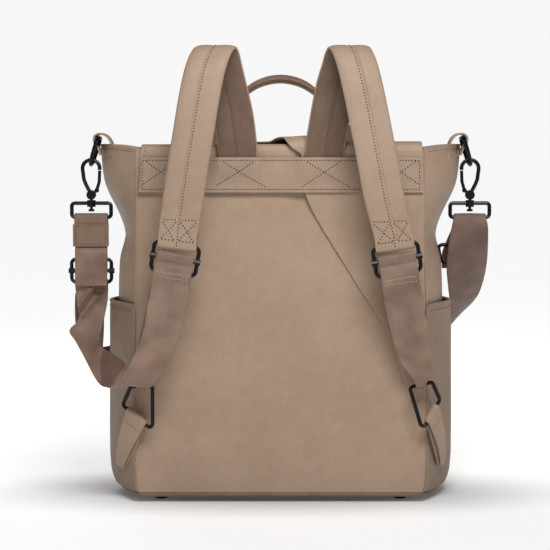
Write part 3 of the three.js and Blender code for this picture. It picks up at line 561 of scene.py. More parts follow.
# Sheets over the top
def over_top(off, back_foot, front_foot):
    top = RIM_Z - 1.6
    path = [[-off, back_foot], [-off, (back_foot + top) / 2], [-off, top - 5],
            [-off * 0.6 + 0.6, top + off * 0.35], [4.5, top + off]]
    path += [[y, top + off] for y in (25, 63, 100)]
    fy = front_y(RIM_Z)
    path += [[fy - 4.5, top + off], [fy + off * 0.6 - 0.6, top + off * 0.35], [fy + off, top - 5]]
    for z in (336, 321, 306, 290, 278, 267, 240, 220, 200):
        if z > front_foot + 2:
            path.append([front_y(z) + off + (max(0, 268 - z)) * 0.02, z])
    path.append([front_y(front_foot) + off + 1, front_foot])
    return path

def build_top_flap():
    path = catmull([[0, y, z] for y, z in over_top(1.9, 316, 236)], 150)
    xs = np.linspace(-140.5, 140.5, 60)
    grid = np.array([[[x, p[1], p[2]] for x in xs] for p in path])
    grid[..., 0] *= 1 - 0.014 * smoothstep(grid[..., 2], 345, 360)
    grid[..., 2] += smoothstep(grid[..., 2], 358, 360) * (0.35 * bump_noise(grid, 90, 11))
    s = Slab("flap_under", grid, 2.2, LEATHER)
    keep(s.obj, ["top_flap"])
    return s

flap = build_top_flap()
side_rows = []
zs_path = flap.grid[:, 0, 2]
low, high = int(np.argmax(zs_path > 347.5)), int(np.argmax(zs_path > 356.6))
for u_side in (0.0155, 0.9845):
    side_rows.append(flap.at(np.full(30, u_side), np.linspace(low, high, 30) / (len(zs_path) - 1)))
keep(stitch_mesh("flap_stitches", side_rows, THREAD, pitch=2.95, length=1.5, width=0.45))

# The wrap flap up the strap side: y, z, free edge and straight edge
WRAP = [[-1.9, 119, 127, 144], [-1.9, 133, 121.5, 144.8], [-1.9, 155, 114.3, 144.6],
        [-1.9, 177.5, 104.8, 144.4],
        [-1.9, 216, 79.3, 144], [-1.9, 240, 64.3, 143.4], [-2.2, 280, 39.3, 143], [-4.4, 306, 26, 142.6],
        [-4.7, 330, 20, 142]]

def build_wrap():
    def free_edge(y, z):
        if y < 0:
            return 16.7 - 1.5 * (z - 352)
        return 4 - 0.28 * y if z > 336 else -41 - 0.55 * (336 - z)
    rows = WRAP + [[y, z, free_edge(y, z), 140.5] for y, z in over_top(4.7, 350, 206)]
    rows = catmull([[0, r[0], r[1], r[2], r[3]] for r in rows], 240)
    n = len(rows)
    tang = unit(np.gradient(rows[:, 1:3], axis=0))
    out = np.stack([-tang[:, 1], tang[:, 0]], axis=1)
    cols = np.concatenate([np.linspace(0, 0.2, 16, endpoint=False), np.linspace(0.2, 1, 34)])
    grid = np.zeros((n, len(cols), 3))
    for i in range(n):
        y, z, a, b = rows[i, 1:5]
        x = a + (b - a) * cols
        dist = x - a
        # The free edge lifts, most where it goes over the top.
        top = smoothstep(z, 345, 362) * (1 - smoothstep(y, 22, 62))
        curl = (1 - smoothstep(dist, 22, 64)) * (1 + 0.25 * smoothstep(dist, 0, 25))
        wave = 0.5 * smoothstep(z, 150, 290) * np.exp(-((dist - 30) / 22) ** 2)
        lift = 0.4 * np.exp(-(dist / 7) ** 2) + 4.2 * top * curl + wave
        grid[i, :, 0] = x
        grid[i, :, 1] = y + out[i, 0] * lift - (y < 0) * swell(x, z)
        grid[i, :, 2] = z + out[i, 1] * lift
    keep(Slab("flap_wrap", grid, 2.0, LEATHER).obj, ["wrap_flap"])

build_wrap()

# Yoke band
YOKE_TOP, YOKE_BOTTOM = 347.4, 312.6

def build_yoke():
    zs = np.linspace(YOKE_BOTTOM, YOKE_TOP, 26)
    u = np.linspace(-1, 1, 150)
    grid = []
    for z in zs:
        half = 141.2 - 2.6 * (z - YOKE_BOTTOM) / 34.8
        x = half * u
        seat = -4.7 - 2.8 * smoothstep(x, -2, 26)
        lift = np.zeros_like(x)
        for cx in (-42.5, 43.2):
            lift += (11.4 + seat) * smoothstep(z, 318, 344) * (1 - smoothstep(np.abs(x - cx), 16, 32))
        y = seat - lift - 0.25 * bump_noise(np.stack([x, 0 * x, 0 * x + z], axis=1), 60, 5)
        grid.append(np.stack([x, y, np.full_like(x, z)], axis=1))
    s = Slab("yoke_leather", np.array(grid), 2.2, LEATHER_LIGHT)
    keep(s.obj, ["yoke_band"])
    return s

yoke = build_yoke()

def yoke_line(x0, z0, x1, z1):
    """A stitch line on the yoke's front face."""
    t = np.linspace(0, 1, 60)
    x, z = x0 + (x1 - x0) * t, z0 + (z1 - z0) * t
    v = (z - YOKE_BOTTOM) / (YOKE_TOP - YOKE_BOTTOM)
    half = 141.2 - 2.6 * v
    return yoke.at((x / half + 1) / 2, v)

yoke_rows = [yoke_line(-138.2, 344.2, 138.2, 344.2), yoke_line(-138.6, 315.6, 138.6, 315.6),
             yoke_line(-137, 344, -137.8, 316), yoke_line(137, 344, 137.8, 316)]
for ends in ((-57.4, 343.5, -14.6, 317.6), (-26.6, 343, -64.3, 319.2), (25.2, 343.5, 68.6, 317.6),
             (59, 343.5, 20.2, 317.6), (-134.3, 343.7, -100, 319), (-137, 320.5, -102, 344),
             (134.3, 343.7, 100, 319), (137, 320.5, 102, 344)):
    yoke_rows.append(yoke_line(*ends))
keep(stitch_mesh("yoke_stitches", yoke_rows, THREAD, pitch=2.95, length=1.7, width=0.62))

# Padded shoulder straps, as rows of x, y, z and width
YT = YOKE_TOP
STRAP_LEFT = [
    [-99.6, -50, 274, 37.5], [-94.6, -52, 306.8, 38.5], [-89.3, -54, 341.3, 38.5], [-84, -54, 372.3, 38.5],
    [-79.2, -52, 402, 38.5], [-74, -47.5, 428.2, 38.5], [-69, -41, 444.7, 38.5],
    [-63.8, -33.5, 453.4, 38.5],
    [-60.7, -26.5, 450, 38.5], [-58, -21.5, 438.8, 38.5], [-53.6, -18, 420, 38.5],
    [-46.8, -13.6, 389.7, 38.5],
    [-42.8, -10.2, 356, 38], [-42.5, -8.0, 340, 36]]
STRAP_RIGHT = [
    [108.4, -50, 274, 37.5], [100.1, -52, 306.8, 38.5], [93.5, -54, 341.3, 38.5], [87.4, -54, 372.3, 38.5],
    [80.8, -52, 405, 38.5], [75.2, -47.5, 430.2, 38.5], [70.6, -41, 445.6, 38.5],
    [66.5, -33.5, 453.4, 38.5],
    [63.3, -26.5, 450, 38.5], [60.2, -21.5, 438.8, 38.5], [54.7, -18, 420, 38.5],
    [48.9, -13.6, 389.7, 38.5],
    [43.6, -10.2, 356, 38], [43.2, -8.0, 340, 36]]
TILT = 9.8
WIRE = 2.0
SLIDER_LEFT, SLIDER_RIGHT = (-102.8, -46, 249.3), (112.7, -46, 248.4)

def arc_rows(cx, cy, cz, radius, start, stop, width, steps=10):
    a = np.radians(np.linspace(start, stop, steps + 1))
    return [[cx, cy - radius * math.cos(t), cz + radius * math.sin(t), width] for t in a]

def tilted(rows, centre, deg):
    """Rows given round a slider's centre, turned with it."""
    c, s = math.cos(math.radians(deg)), math.sin(math.radians(deg))
    return [[centre[0] + x * c + z * s, centre[1] + y, centre[2] + z * c - x * s, w] for x, y, z, w in rows]

def tilt_axis(deg):
    return np.array([math.cos(math.radians(deg)), 0, -math.sin(math.radians(deg))])

def build_strap(word, table, centre, deg, side):
    turn = WIRE + 0.35 + 1.0
    end = tilted([[0, turn, 27, 37]] + arc_rows(0, 0, 12.6, turn, -180, 0, 38, 8), centre, deg)
    rows = catmull(end + table, 230)
    n = len(rows)
    s = lengths(rows[:, :3])
    # The strap keeps the slider's tilt over this length, then eases out of it.
    hold = 22.0
    share = 1 - smoothstep(s, hold, hold + 45)
    a = np.radians(deg) * share * 0.8
    across = np.stack([np.cos(a), 0 * a, -np.sin(a)], axis=1)
    cols = 61
    k = np.linspace(-0.5, 0.5, cols)
    grid = rows[:, None, :3] + across[:, None, :] * (rows[:, 3, None] * k)[..., None]
    # Padded crown on both halves, with a seam groove along the middle.
    full = 2.0 + 3.6 * smoothstep(s, 30, 62) * (1 - 0.6 * smoothstep(s, s[-1] - 26, s[-1] - 6))
    out = np.abs(k) - 0.25
    crown = np.where(out > 0, 0.42 + 0.58 * (1 - np.abs(out * 4) ** 2.6), 0.86 + 0.14 * (1 - (out * 4) ** 2))
    groove = 1.6 * np.exp(-((k * 38.5 + 2.8 * side) / 0.6) ** 2)
    thick = full[:, None] * crown[None, :] - groove[None, :] * np.clip(full[:, None] / 5, 0.3, 1)
    # Small creases across the strap where it bends over the top.
    bend = np.exp(-((s - s[-1] * 0.66) / 22) ** 2)
    crease = (0.16 * np.sin(s / 1.9 + 0.8 * np.sin(s / 7)) * bend)[:, None] * (1 - (2 * k[None, :]) ** 2)
    thick = thick + crease
    sl = Slab("strap_" + word, grid, thick, LEATHER_LIGHT, face=(0.35, (0, -1, 0)), sharp=60)
    # The inner face gets the darker leather, painted shade standing for the shadow on the far legs
    sl.obj.data.materials.append(LEATHER_STRAP_PAINTED_SHADE)
    around = 2 * cols + 6
    index = np.zeros(len(sl.obj.data.polygons), dtype=np.int32)
    inner = np.arange(n - 1)[:, None] * around + np.arange(cols + 3, 2 * cols + 2)[None, :]
    index[inner.ravel()] = 1
    sl.obj.data.polygons.foreach_set("material_index", index)
    keep(sl.obj, ["shoulder_strap_" + word])
    sl.s = s
    return sl

def slab_line(sl, u0, s0, u1, s1, count=120, back=False):
    """Stitch line on a strap from (u, length) to (u, length)."""
    t = np.linspace(0, 1, count)
    u = u0 + (u1 - u0) * t
    s = s0 + (s1 - s0) * t
    v = np.interp(s, sl.s, np.linspace(0, 1, len(sl.s)))
    return sl.at(u, v, back=back)

def strap_stitches(sl, word, side):
    """The long line beside the seam, and two crossed boxes at the slider."""
    def across(u):
        return u if side > 0 else 1 - u
    last, mid = sl.s[-1], across(0.495)
    rows = [slab_line(sl, mid, 24, mid, last * 0.66, 400),
            slab_line(sl, mid, last * 0.66, mid, last - 10, 300, back=True)]
    for u0, u1 in ((across(0.06), across(0.42)), (across(0.52), across(0.94))):
        rows += [slab_line(sl, u0, 30, u1, 30, 20), slab_line(sl, u0, 50.5, u1, 50.5, 20),
                 slab_line(sl, u0, 30, u1, 49, 30), slab_line(sl, u1, 30, u0, 49, 30)]
    keep(stitch_mesh("strap_stitches_" + word, rows, THREAD,
                     pitch=3.0, length=1.7, width=0.6))

strap_stitches(build_strap("left", STRAP_LEFT, SLIDER_LEFT, TILT, 1), "left", 1)
strap_stitches(build_strap("right", STRAP_RIGHT, SLIDER_RIGHT, -TILT, -1), "right", -1)

# Webbing
def along_x(t):
    return np.array([1.0, 0, 0])

def web(name, rows, across, material, nodes, count, thick=1.5):
    """A band along rows of x, y, z and width. across gives its cross direction, from 0 to 1 along it."""
    r = catmull(rows, count)
    k = np.linspace(-0.5, 0.5, 9)
    ac = np.array([across(i / (count - 1)) for i in range(count)])
    grid = r[:, None, :3] + ac[:, None, :] * (r[:, 3, None] * k)[..., None]
    sl = Slab(name, grid, thick, material)
    sl.s = lengths(r[:, :3])
    keep(sl.obj, nodes)
    return sl

REACH = WIRE + 0.35 + 0.75
# Corners of the lower rings: two at the tab's bar, then two at the webbing's bar
RING_LEFT = [(-157.8, -10.6, 100.6), (-127.5, -17, 76), (-127.5, -17, 121.5), (-149, -15, 120)]
RING_RIGHT = [(158.9, -10.6, 106), (141, -17, 76), (128, -17.5, 119.5), (150.5, -15, 124.5)]

# Webbing round a slider's middle bar, and over its lower bar from the front to behind it
LOOP = [[0, -0.8, -8, 36.5], [0, -REACH + 0.4, -4, 36.5]] + arc_rows(0, 0, 2.2, REACH, 0, 180, 36.5, 8)
LOOP += [[0, REACH + 2.6, -8, 36.5], [0, REACH + 4, -16, 37]]
ROLL = [[0, -REACH - 1.2, -24, 37], [0, -REACH - 2.3, -17, 37]]
ROLL += arc_rows(0, 0, -9.8, REACH + 2.4, 0, 180, 37, 8) + [[0, REACH, -22, 37]]

def shoulder_web(word, centre, deg, down, ring):
    start = LOOP
    if word == "right":
        # The far loop is a layer of its own here, and the long stretch rolls over the lower bar.
        web("web_loop_right", tilted(LOOP, centre, deg), lambda t: tilt_axis(deg), WEB,
            ["shoulder_webbing_right"], count=50)
        start = ROLL[::-1]
    x, y, z = (np.array(ring[2]) + np.array(ring[3])) / 2
    turn = [[x, y - REACH - 0.4, z + 7, 17]] + arc_rows(x, y, z, REACH, 0, -180, 11, 6)
    turn += [[x, y + REACH, z + 8, 11]]
    rows = tilted(start, centre, deg) + down + turn
    bar = unit(np.array(ring[2]) - np.array(ring[3]))
    if bar[0] < 0:
        bar = -bar

    def across(t):
        w = float(smoothstep(t, 0.8, 0.9))
        return unit(tilt_axis(deg * (1 - float(smoothstep(t, 0.2, 0.45)))) * (1 - w) + bar * w)
    return web("web_shoulder_" + word, rows, across, WEB, ["shoulder_webbing_" + word], count=170)

DOWN_LEFT = [[-112, -37, 205, 38], [-119, -29, 178, 37], [-129, -22, 146, 32]]
DOWN_RIGHT = [[120.5, -38, 205, 38], [126, -30, 178, 37], [133.5, -24, 146, 32]]
shoulder_web("left", SLIDER_LEFT, TILT, DOWN_LEFT, RING_LEFT)
web_right = shoulder_web("right", SLIDER_RIGHT, -TILT, DOWN_RIGHT, RING_RIGHT)

# Crossbody bands from tables of both edges
HOOK_X, HOOK_Y = 193.0, 42.0
LX = -193.3
CROSS_Z = 231.6
LOOP_LOW = 286.2
BAND = [
    [-210.2, 42, 214, -177.4, 42, 214], [-208.5, 39, 203, -176.5, 39, 204],
    [-206, 33, 190, -178.5, 33, 190],
    [-208.5, 27, 180, -180.5, 29, 180], [-214, 20, 171.7, -182.4, 26, 172],
    [-206.7, 8, 163.1, -184.1, 27, 162.5],
    [-198.2, -4, 151.5, -184.2, 24, 156.5], [-191, -15, 140.9, -179.4, 15, 154.5],
    [-184.2, -23, 130, -171.9, 2, 152.8],
    [-177.3, -32, 123.4, -163.8, -9, 150], [-168.8, -42, 122.4, -155, -18, 144.5],
    [-166.3, -47, 122.6, -145.4, -27, 134.5],
    [-163.8, -51, 125, -135.8, -36, 125.2], [-159.2, -55, 129.6, -127.3, -44, 123.6],
    [-152.3, -58, 138, -118.6, -50, 132.6],
    [-144.5, -59, 151.2, -110.6, -53, 146.2], [-137.5, -58, 167.5, -103.3, -54, 161.2],
    [-131.9, -56, 186.6, -97.5, -54, 177.7],
    [-129.2, -54, 205.8, -93.3, -52, 194], [-127.4, -52.5, 213, -90.9, -51.5, 207]]
BACK_BAND = [
    [174.5, 38.6, 277, 211.5, 38.6, 277], [172, 45, 257, 213, 49, 259], [172, 64, 234, 214.6, 71, 237],
    [176, 84, 210, 213.6, 96, 215.5], [180.5, 104, 185, 209.5, 120, 197.5],
    [179, 130, 162, 196, 143, 180.5],
    [166, 154, 142, 176, 161, 172], [130, 167, 124, 136, 170, 158], [70, 171, 112, 73, 173, 147],
    [0, 173, 106, 0, 174.5, 141], [-70, 170, 106, -73, 172, 141], [-130, 162, 108, -136, 166, 142],
    [-166, 147, 110, -176, 154, 143], [-186, 122, 112, -198, 128, 142], [-190.6, 98, 116, -204, 98, 146],
    [-187.4, 80, 134, -210, 74, 158], [-184, 68, 164, -212.5, 64, 170], [-182.6, 61, 190, -213, 60, 190],
    [-181, 55, 207, -212, 55, 207]]

def edges(rows):
    """Rows of middle and width along X as rows of both edges."""
    return [[x - w / 2, y, z, x + w / 2, y, z] for x, y, z, w in rows]

def edges_tilted(rows, centre, deg):
    d = tilt_axis(deg)
    out = []
    for x, y, z, w in tilted(rows, centre, deg):
        p = np.array([x, y, z])
        out.append(list(p - d * w / 2) + list(p + d * w / 2))
    return out

def band(name, rows, material, nodes, count, cols=15, shape=None):
    """A band between two edges, given row by row. shape moves it out by its place along and across."""
    r = catmull(rows, count)
    a, b = r[:, :3], r[:, 3:6]
    s = lengths((a + b) / 2)
    k = np.linspace(0, 1, cols)[None, :, None]
    grid = a[:, None, :] * (1 - k) + b[:, None, :] * k
    if shape is not None:
        n = normals_of(grid)
        grid = grid + n * shape(s[:, None] / s[-1], k[..., 0])[..., None]
    sl = Slab(name, grid, 1.5, material, face=(0.9, (0, -1, 0)))
    sl.s = s
    keep(sl.obj, nodes)
    return sl

top_turn = edges([[LX, HOOK_Y + 3.4, 209, 33]] + arc_rows(LX, HOOK_Y, CROSS_Z - 11.85, 3.2, 180, 0, 33, 8))
end_rows = edges_tilted(ROLL, SLIDER_LEFT, TILT)

def band_shape(s, k):
    """A sharp diagonal fold under the slider, creases below it and soft waves on the front stretch."""
    line = s - 0.145 + 0.115 * k
    below = smoothstep(line, 0.003, 0.014) * (1 - smoothstep(line, 0.03, 0.075))
    fold = 4.0 * np.exp(-(line / 0.012) ** 2) - 6.5 * below
    crease = 0.5 * np.sin(s * 330 + k * 5) * np.exp(-((s - 0.29) / 0.035) ** 2) * k
    top = 0.5 * np.sin(s * 260 - k * 2) * np.exp(-((s - 0.07) / 0.03) ** 2)
    wave = 0.5 * np.sin(s * 45 + k * 4) * smoothstep(s, 0.6, 0.75) * np.exp(-((s - 0.8) / 0.12) ** 2)
    return (fold + crease + top + wave) * smoothstep(s, 0.05, 0.08) * (1 - smoothstep(s, 0.93, 0.96))

band_left = band("band_left", top_turn + BAND + end_rows, WEB, ["crossbody_band_left"], 330,
                 shape=band_shape)
# Painted shade: faces inside the bottom of the hanging loop, between these corners in x and z, get a darker
# webbing that stands for the loop's shaded underside
PAINTED_SHADE_CORNERS = np.array([[-178.5, 161], [-168.6, 157.1], [-150.7, 145.3], [-167.1, 123.7], [-176.5, 123.2],
                   [-180.4, 143.8]])
faces = band_left.obj.data.polygons
middle = np.empty(len(faces) * 3)
faces.foreach_get("center", middle)
middle = middle.reshape(-1, 3) * 1000 - SHIFT
in_painted_shade = np.ones(len(faces), dtype=bool)
for a, b in zip(PAINTED_SHADE_CORNERS, np.roll(PAINTED_SHADE_CORNERS, -1, axis=0)):
    in_painted_shade &= (b[0] - a[0]) * (middle[:, 2] - a[1]) - (b[1] - a[1]) * (middle[:, 0] - a[0]) < 0
band_left.obj.data.materials.append(WEB_INSIDE_PAINTED_SHADE)
faces.foreach_set("material_index", in_painted_shade.astype(np.int32))
right_turn = [[HOOK_X, HOOK_Y + REACH, 276, 34]]
right_turn = edges(right_turn + arc_rows(HOOK_X, HOOK_Y, LOOP_LOW, REACH, 180, 0, 32.5, 8))

def back_shape(s, k):
    return 0.35 * np.sin(s * 50 + k * 2) * (1 - np.abs(2 * k - 1) ** 2)

# The right band uses the darker webbing, painted shade
band("band_right", right_turn + BACK_BAND, WEB_BACK_PAINTED_SHADE, ["crossbody_band_right"], 330, shape=back_shape)

upper = [[LX, HOOK_Y, 280, 33], [LX, HOOK_Y - 0.6, 262, 33], [LX, HOOK_Y - 4.2, 252, 33],
         [LX, HOOK_Y - 5.6, 243.5, 33],
         [LX, HOOK_Y - 5.0, 236, 33], [LX, HOOK_Y - 5.9, 229, 33], [LX, HOOK_Y - 5.3, 222, 33],
         [LX, HOOK_Y - 5.6, 216.5, 33]]
web_cross = web("web_cross_left", upper, along_x, WEB, ["crossbody_web_left"],
                count=110)
loop = [[LX, HOOK_Y + 3.6, 262, 32]] + arc_rows(LX, HOOK_Y, CROSS_Z, 3.2, 180, 330, 32, 8)
web("web_cross_loop", loop, along_x, WEB, ["crossbody_web_left"], count=60)
u = np.linspace(0.05, 0.95, 40)
hem_v = np.interp(29.5, web_cross.s, np.linspace(0, 1, len(web_cross.s)))
hem = stitch_mesh("hem_stitches_cross", [web_cross.at(u, np.full(40, hem_v))], THREAD_LIGHT,
                  pitch=2.6, length=1.7, width=0.32)
keep(hem)

# Hem stitches below the rolls at the shoulder sliders
def hem_stitches(word, sl, start, turned, back):
    """Two zigzag rows 4.4 mm apart, the first start mm from the band's beginning or end."""
    rows = []
    for k in range(2):
        for n in range(7):
            t = np.linspace(0, 1, 12)
            u = 0.025 + 0.1357 * (n + t)
            dist = start + 4.4 * k + (1.3 if n % 2 else 0) * (t - 0.5)
            v = np.interp(sl.s[-1] - dist if turned else dist, sl.s, np.linspace(0, 1, len(sl.s)))
            rows.append(sl.at(u, v, back=back))
    stitches = stitch_mesh("hem_stitches_" + word, rows, THREAD_LIGHT, pitch=2.4, length=1.7, width=0.34)
    keep(stitches)

hem_stitches("left", band_left, 34.5, True, False)
hem_stitches("right", web_right, 38.5, False, True)

# The strap's other layer at the right, and its slider
inner = edges([[HOOK_X, HOOK_Y + REACH + 2.2, 279, 31]])
inner += [[171, 55.5, 262, 204, 59, 263], [167.5, 67.5, 247.5, 201, 71, 248.5],
          [168.5, 79, 232, 202, 83, 233]]
# This back layer is in the darker webbing, painted shade
band("web_inner_right", inner, WEB_INSIDE_PAINTED_SHADE, [], 60, cols=9)
mid_slider = np.array([187.2, 69.5, 247.6])
frame_path = []
for k in range(48):
    ang = 2 * math.pi * k / 48
    cx, cz = math.cos(ang), math.sin(ang)
    px = 22.2 * math.copysign(min(1, abs(cx) ** 0.35), cx)
    pz = 13.4 * math.copysign(min(1, abs(cz) ** 0.35), cz)
    frame_path.append(mid_slider + np.array([px - 0.2 * pz, 0.1 * px - 0.66 * pz, pz * 0.75]))
keep(tube("slider_frame_right", np.array(frame_path), 1.9, METAL, closed=True, sides=10))

# Leather tabs
def tab_cross():
    reach = WIRE + 0.35 + 1.0
    rows = [[LX, HOOK_Y - reach + 0.3, 257.5, 34.5], [LX, HOOK_Y - reach, 272, 34.5]]
    rows += arc_rows(LX, HOOK_Y, LOOP_LOW, reach, 0, 180, 34, 10)
    rows += [[LX, HOOK_Y + reach, 272, 34.5], [LX, HOOK_Y + reach - 0.6, 261, 34.5]]
    web("tab_cross", rows, along_x, LEATHER_BASE, ["crossbody_tab"],
        thick=1.9, count=90)
    y = HOOK_Y - reach - 1.0
    k = np.linspace(-0.5, 0.5, 9)
    zs = np.linspace(256.6, 279.2, 9)
    patch = np.array([[[LX + q * 36.6, y - 0.9, z] for q in k] for z in zs])
    keep(Slab("tab_patch", patch, 1.2, LEATHER_BASE).obj)
    y -= 1.5
    box = [(-15.2, 277.6), (15.2, 277.6), (15.2, 259), (-15.2, 259), (-15.2, 277.6)]
    rows = []
    for (x0, z0), (x1, z1) in zip(box[:-1], box[1:]):
        t = np.linspace(0, 1, 30)
        points = np.stack([LX + x0 + (x1 - x0) * t, np.full(30, y), z0 + (z1 - z0) * t], axis=1)
        rows.append((points, np.tile([0, -1.0, 0], (30, 1))))
    keep(stitch_mesh("tab_stitches", rows, THREAD, pitch=3.0))

tab_cross()

def ring_tab(side, word):
    rows = [[170, 346], [170.6, 356], [172.8, 364], [177.6, 369.6], [184.4, 371.0],
            [188.9, 367.6], [188.4, 361.5], [184.6, 355.5], [182.8, 349.5]]
    rows = [[side * x, HOOK_Y, z, 20] for x, z in rows]
    web("tab_ring_" + word, rows, lambda t: np.array([0, 1.0, 0]), LEATHER, ["ring_tab_" + word],
        thick=2.2, count=70)

ring_tab(-1, "left")
ring_tab(1, "right")

def lower_tab(word, a, b, c, radius=WIRE + 0.35 + 0.8, thick=1.6, end_width=8.0):
    a, b, c = (np.array(p, float) for p in (a, b, c))
    middle = a + (b - a) * 0.46
    along = unit(b - a)
    down = c - middle
    reach = unit(down - along * np.dot(down, along))
    out = unit(np.cross(reach, along))
    if out[1] > 0:
        out = -out
    full = np.linalg.norm(b - a) - 15
    k = np.linspace(-0.5, 0.5, 15)

    def row(p, w):
        return p[None, :] + along[None, :] * (k * w)[:, None]

    def leg(side):
        rows = []
        for t in np.linspace(0, 0.93, 16):
            slip = 0 if side > 0 else 2.6 * math.sin(math.pi * min(1, t + 0.15))
            bulge = 5 * math.sin(math.pi * (0.1 + 0.9 * t))
            layer = thick / 2 + 0.3 + (radius - thick / 2 - 0.3) * t
            p = c + (middle - c) * t + along * slip + out * (bulge + side * layer)
            rows.append(row(p, end_width + (full - end_width) * t ** 0.8))
        return rows
    arc = []
    for i in range(13):
        ang = math.pi * i / 12
        arc.append(row(middle + out * radius * math.cos(ang) - reach * radius * math.sin(ang), full))
    grid = np.array(leg(1) + arc + leg(-1)[::-1])
    sl = Slab("tab_lower_" + word, grid, thick, LEATHER_LIGHT, face=(0.2, out))
    keep(sl.obj, ["lower_tab_" + word])
    u = np.linspace(0.06, 0.94, 30)
    # Of the grid's 45 rows, the first 16 are the front leg.
    stitches = stitch_mesh("tab_lower_stitches_" + word, [sl.at(u, np.full(30, 13.9 / 44))], THREAD,
                           pitch=2.9, length=1.5, width=0.45)
    keep(stitches)

lower_tab("left", RING_LEFT[0], RING_LEFT[1], (-162.4, 15, 36))
lower_tab("right", RING_RIGHT[0], RING_RIGHT[1], (162.8, 15, 38))

# Handle
HANDLE = [
    [-60.5, 0, 332, 27, 2.6, 0], [-60.5, 0, 348, 27, 2.6, 0], [-60.3, 0, 366, 27, 2.8, 0],
    [-57.5, 0, 385, 25, 3, 30],
    [-49, 0, 403, 22, 4.5, 62], [-36, 0, 417, 19, 7.5, 84], [-20, 0, 426.5, 18, 9, 90],
    [0, 0, 430.2, 18, 9.4, 90],
    [20, 0, 426.5, 18, 9, 90], [36, 0, 417, 19, 7.5, 96], [50, 0, 403, 22, 4.5, 118],
    [61, 0, 385, 25, 3, 150],
    [64.5, 0, 366, 27, 2.8, 180], [64.8, 0, 348, 27, 2.6, 180], [64.8, 0, 332, 27, 2.6, 180]]

def build_handle():
    rows = catmull(HANDLE, 150)
    seat = front_y(RIM_Z) + 1.1 + 0.35 + 1.3 + 0.6
    k = np.linspace(-0.5, 0.5, 15)
    grid, thick = [], []
    for x, _, z, width, t, turn in rows:
        foot = seat + (1.9 if x < 0 else 4.7)
        low = max(0.0, (352 - z) * 0.14)
        lift = min(1.0, max(0.0, (z - 352) / 70))
        y = foot + low + (128 - foot) * lift
        a = math.radians(turn)
        grid.append([[x + q * width * math.cos(a), y + q * width * math.sin(a), z] for q in k])
        thick.append(t * (0.42 + 0.58 * (1 - np.abs(2 * k) ** 2.5)))
    sl = Slab("handle_leather", np.array(grid), np.array(thick), LEATHER_BASE, sharp=70)
    keep(sl.obj, ["handle"])

build_handle()

# Metal pieces keep their frame meshes
PAIRS = ("shoulder_slider", "lower_ring", "d_ring", "hook", "hook_gate", "hook_base", "foot_near",
         "foot_far")
for name in ["crossbody_slider_left"] + [pair + word for pair in PAIRS for word in ("_left", "_right")]:
    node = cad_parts[name]
    node.data.materials.clear()
    node.data.materials.append(METAL)
    node.data.polygons.foreach_set("use_smooth", [True] * len(node.data.polygons))
    node.data.set_sharp_from_angle(angle=math.radians(48))

# Floor, light and camera
mesh = bpy.data.meshes.new("floor")
mesh.from_pydata([(-6, -6, 0), (6, -6, 0), (6, 6, 0), (-6, 6, 0)], [], [(0, 1, 2, 3)])
floor = bpy.data.objects.new("floor", mesh)
bpy.context.scene.collection.objects.link(floor)
KEY = (0.16, -0.85, 1.02)
fmat, tree, surface = new_material("floor_pale")
surface.inputs["Base Color"].default_value = (0.8, 0.8, 0.8, 1)
surface.inputs["Roughness"].default_value = 0.95
surface.inputs["Specular IOR Level"].default_value = 0.05
surface.inputs["Emission Color"].default_value = (1, 1, 1, 1)
# The floor glows more away from the key light's spot, and little under the bag: a painted contact shadow.
place = add(tree, "ShaderNodeTexCoord").outputs["Object"]
spot = add(tree, "ShaderNodeVectorMath", {0: place}, {1: (KEY[0] * 0.4, KEY[1] * 0.6, 0)},
           operation="DISTANCE")
fade = add(tree, "ShaderNodeMapRange", {"Value": spot.outputs["Value"]},
           {"From Min": 0.1, "From Max": 1.3, "To Min": 0.35, "To Max": 0.86},
           interpolation_type="SMOOTHSTEP")
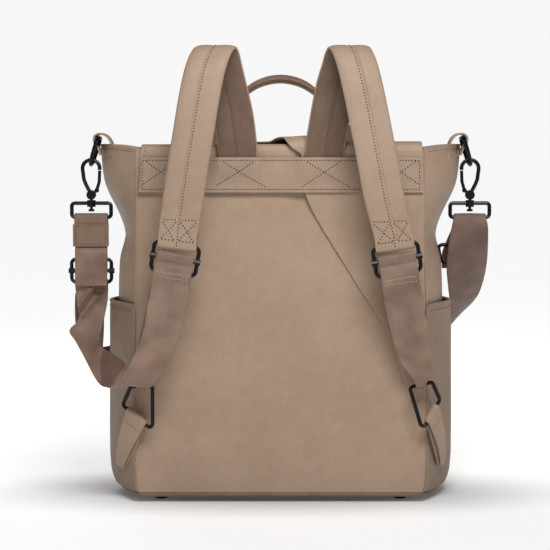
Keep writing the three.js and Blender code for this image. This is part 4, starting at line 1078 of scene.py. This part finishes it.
# Painted contact shadow: the glow drops to a tenth within the bag's footprint
flat = add(tree, "ShaderNodeVectorMath", {0: place}, {1: (0.42, 1, 0)}, operation="MULTIPLY")
away = add(tree, "ShaderNodeVectorMath", {0: flat.outputs["Vector"]}, operation="LENGTH")
under = add(tree, "ShaderNodeMapRange", {"Value": away.outputs["Value"]},
            {"From Min": 0.05, "From Max": 0.15, "To Min": 0.1, "To Max": 1.0},
            interpolation_type="SMOOTHSTEP")
glow = add(tree, "ShaderNodeMath", {0: fade.outputs["Result"], 1: under.outputs["Result"]},
           operation="MULTIPLY")
tree.links.new(glow.outputs["Value"], surface.inputs["Emission Strength"])
mesh.materials.append(fmat)

world = bpy.data.worlds.new("studio")
bpy.context.scene.world = world
world.use_nodes = True
tree = world.node_tree
ambient = tree.nodes["Background"]
ambient.inputs["Color"].default_value = (1.0, 1.0, 1.0, 1)
ambient.inputs["Strength"].default_value = 0.09
backdrop = add(tree, "ShaderNodeBackground", values={"Color": (1.0, 1.0, 1.0, 1), "Strength": 0.93})
rays = add(tree, "ShaderNodeLightPath")
shaders = {1: ambient.outputs["Background"], 2: backdrop.outputs["Background"]}
mixer = add(tree, "ShaderNodeMixShader", {"Fac": rays.outputs["Is Camera Ray"], **shaders})
tree.links.new(mixer.outputs["Shader"], tree.nodes["World Output"].inputs["Surface"])


def area(name, where, aim, size, power):
    data = bpy.data.lights.new(name, "AREA")
    data.shape = "RECTANGLE"
    data.size, data.size_y = size
    data.energy = power
    obj = bpy.data.objects.new(name, data)
    obj.location = where
    obj.rotation_euler = (Vector(aim) - Vector(where)).to_track_quat("-Z", "Y").to_euler()
    bpy.context.scene.collection.objects.link(obj)

area("key", KEY, (0, -0.05, 0.25), (0.6, 0.35), 10.2)
area("back_fill", (-0.5, 0.95, 1.0), (0, 0.05, 0.2), (0.9, 0.5), 3.6)

cam = bpy.data.cameras.new("camera")
cam.sensor_width = 36
cam.lens = 36 * FOCAL / PICTURE
camera = bpy.data.objects.new("camera", cam)
camera.location = (np.array([PICTURE / 2 - EYE_COLUMN, -EYE_BACK, EYE_Z]) + SHIFT) / 1000
camera.rotation_euler = (math.radians(90 - EYE_TILT), 0, 0)
bpy.context.scene.collection.objects.link(camera)
bpy.context.scene.camera = camera
bpy.context.scene.view_settings.view_transform = "Standard"
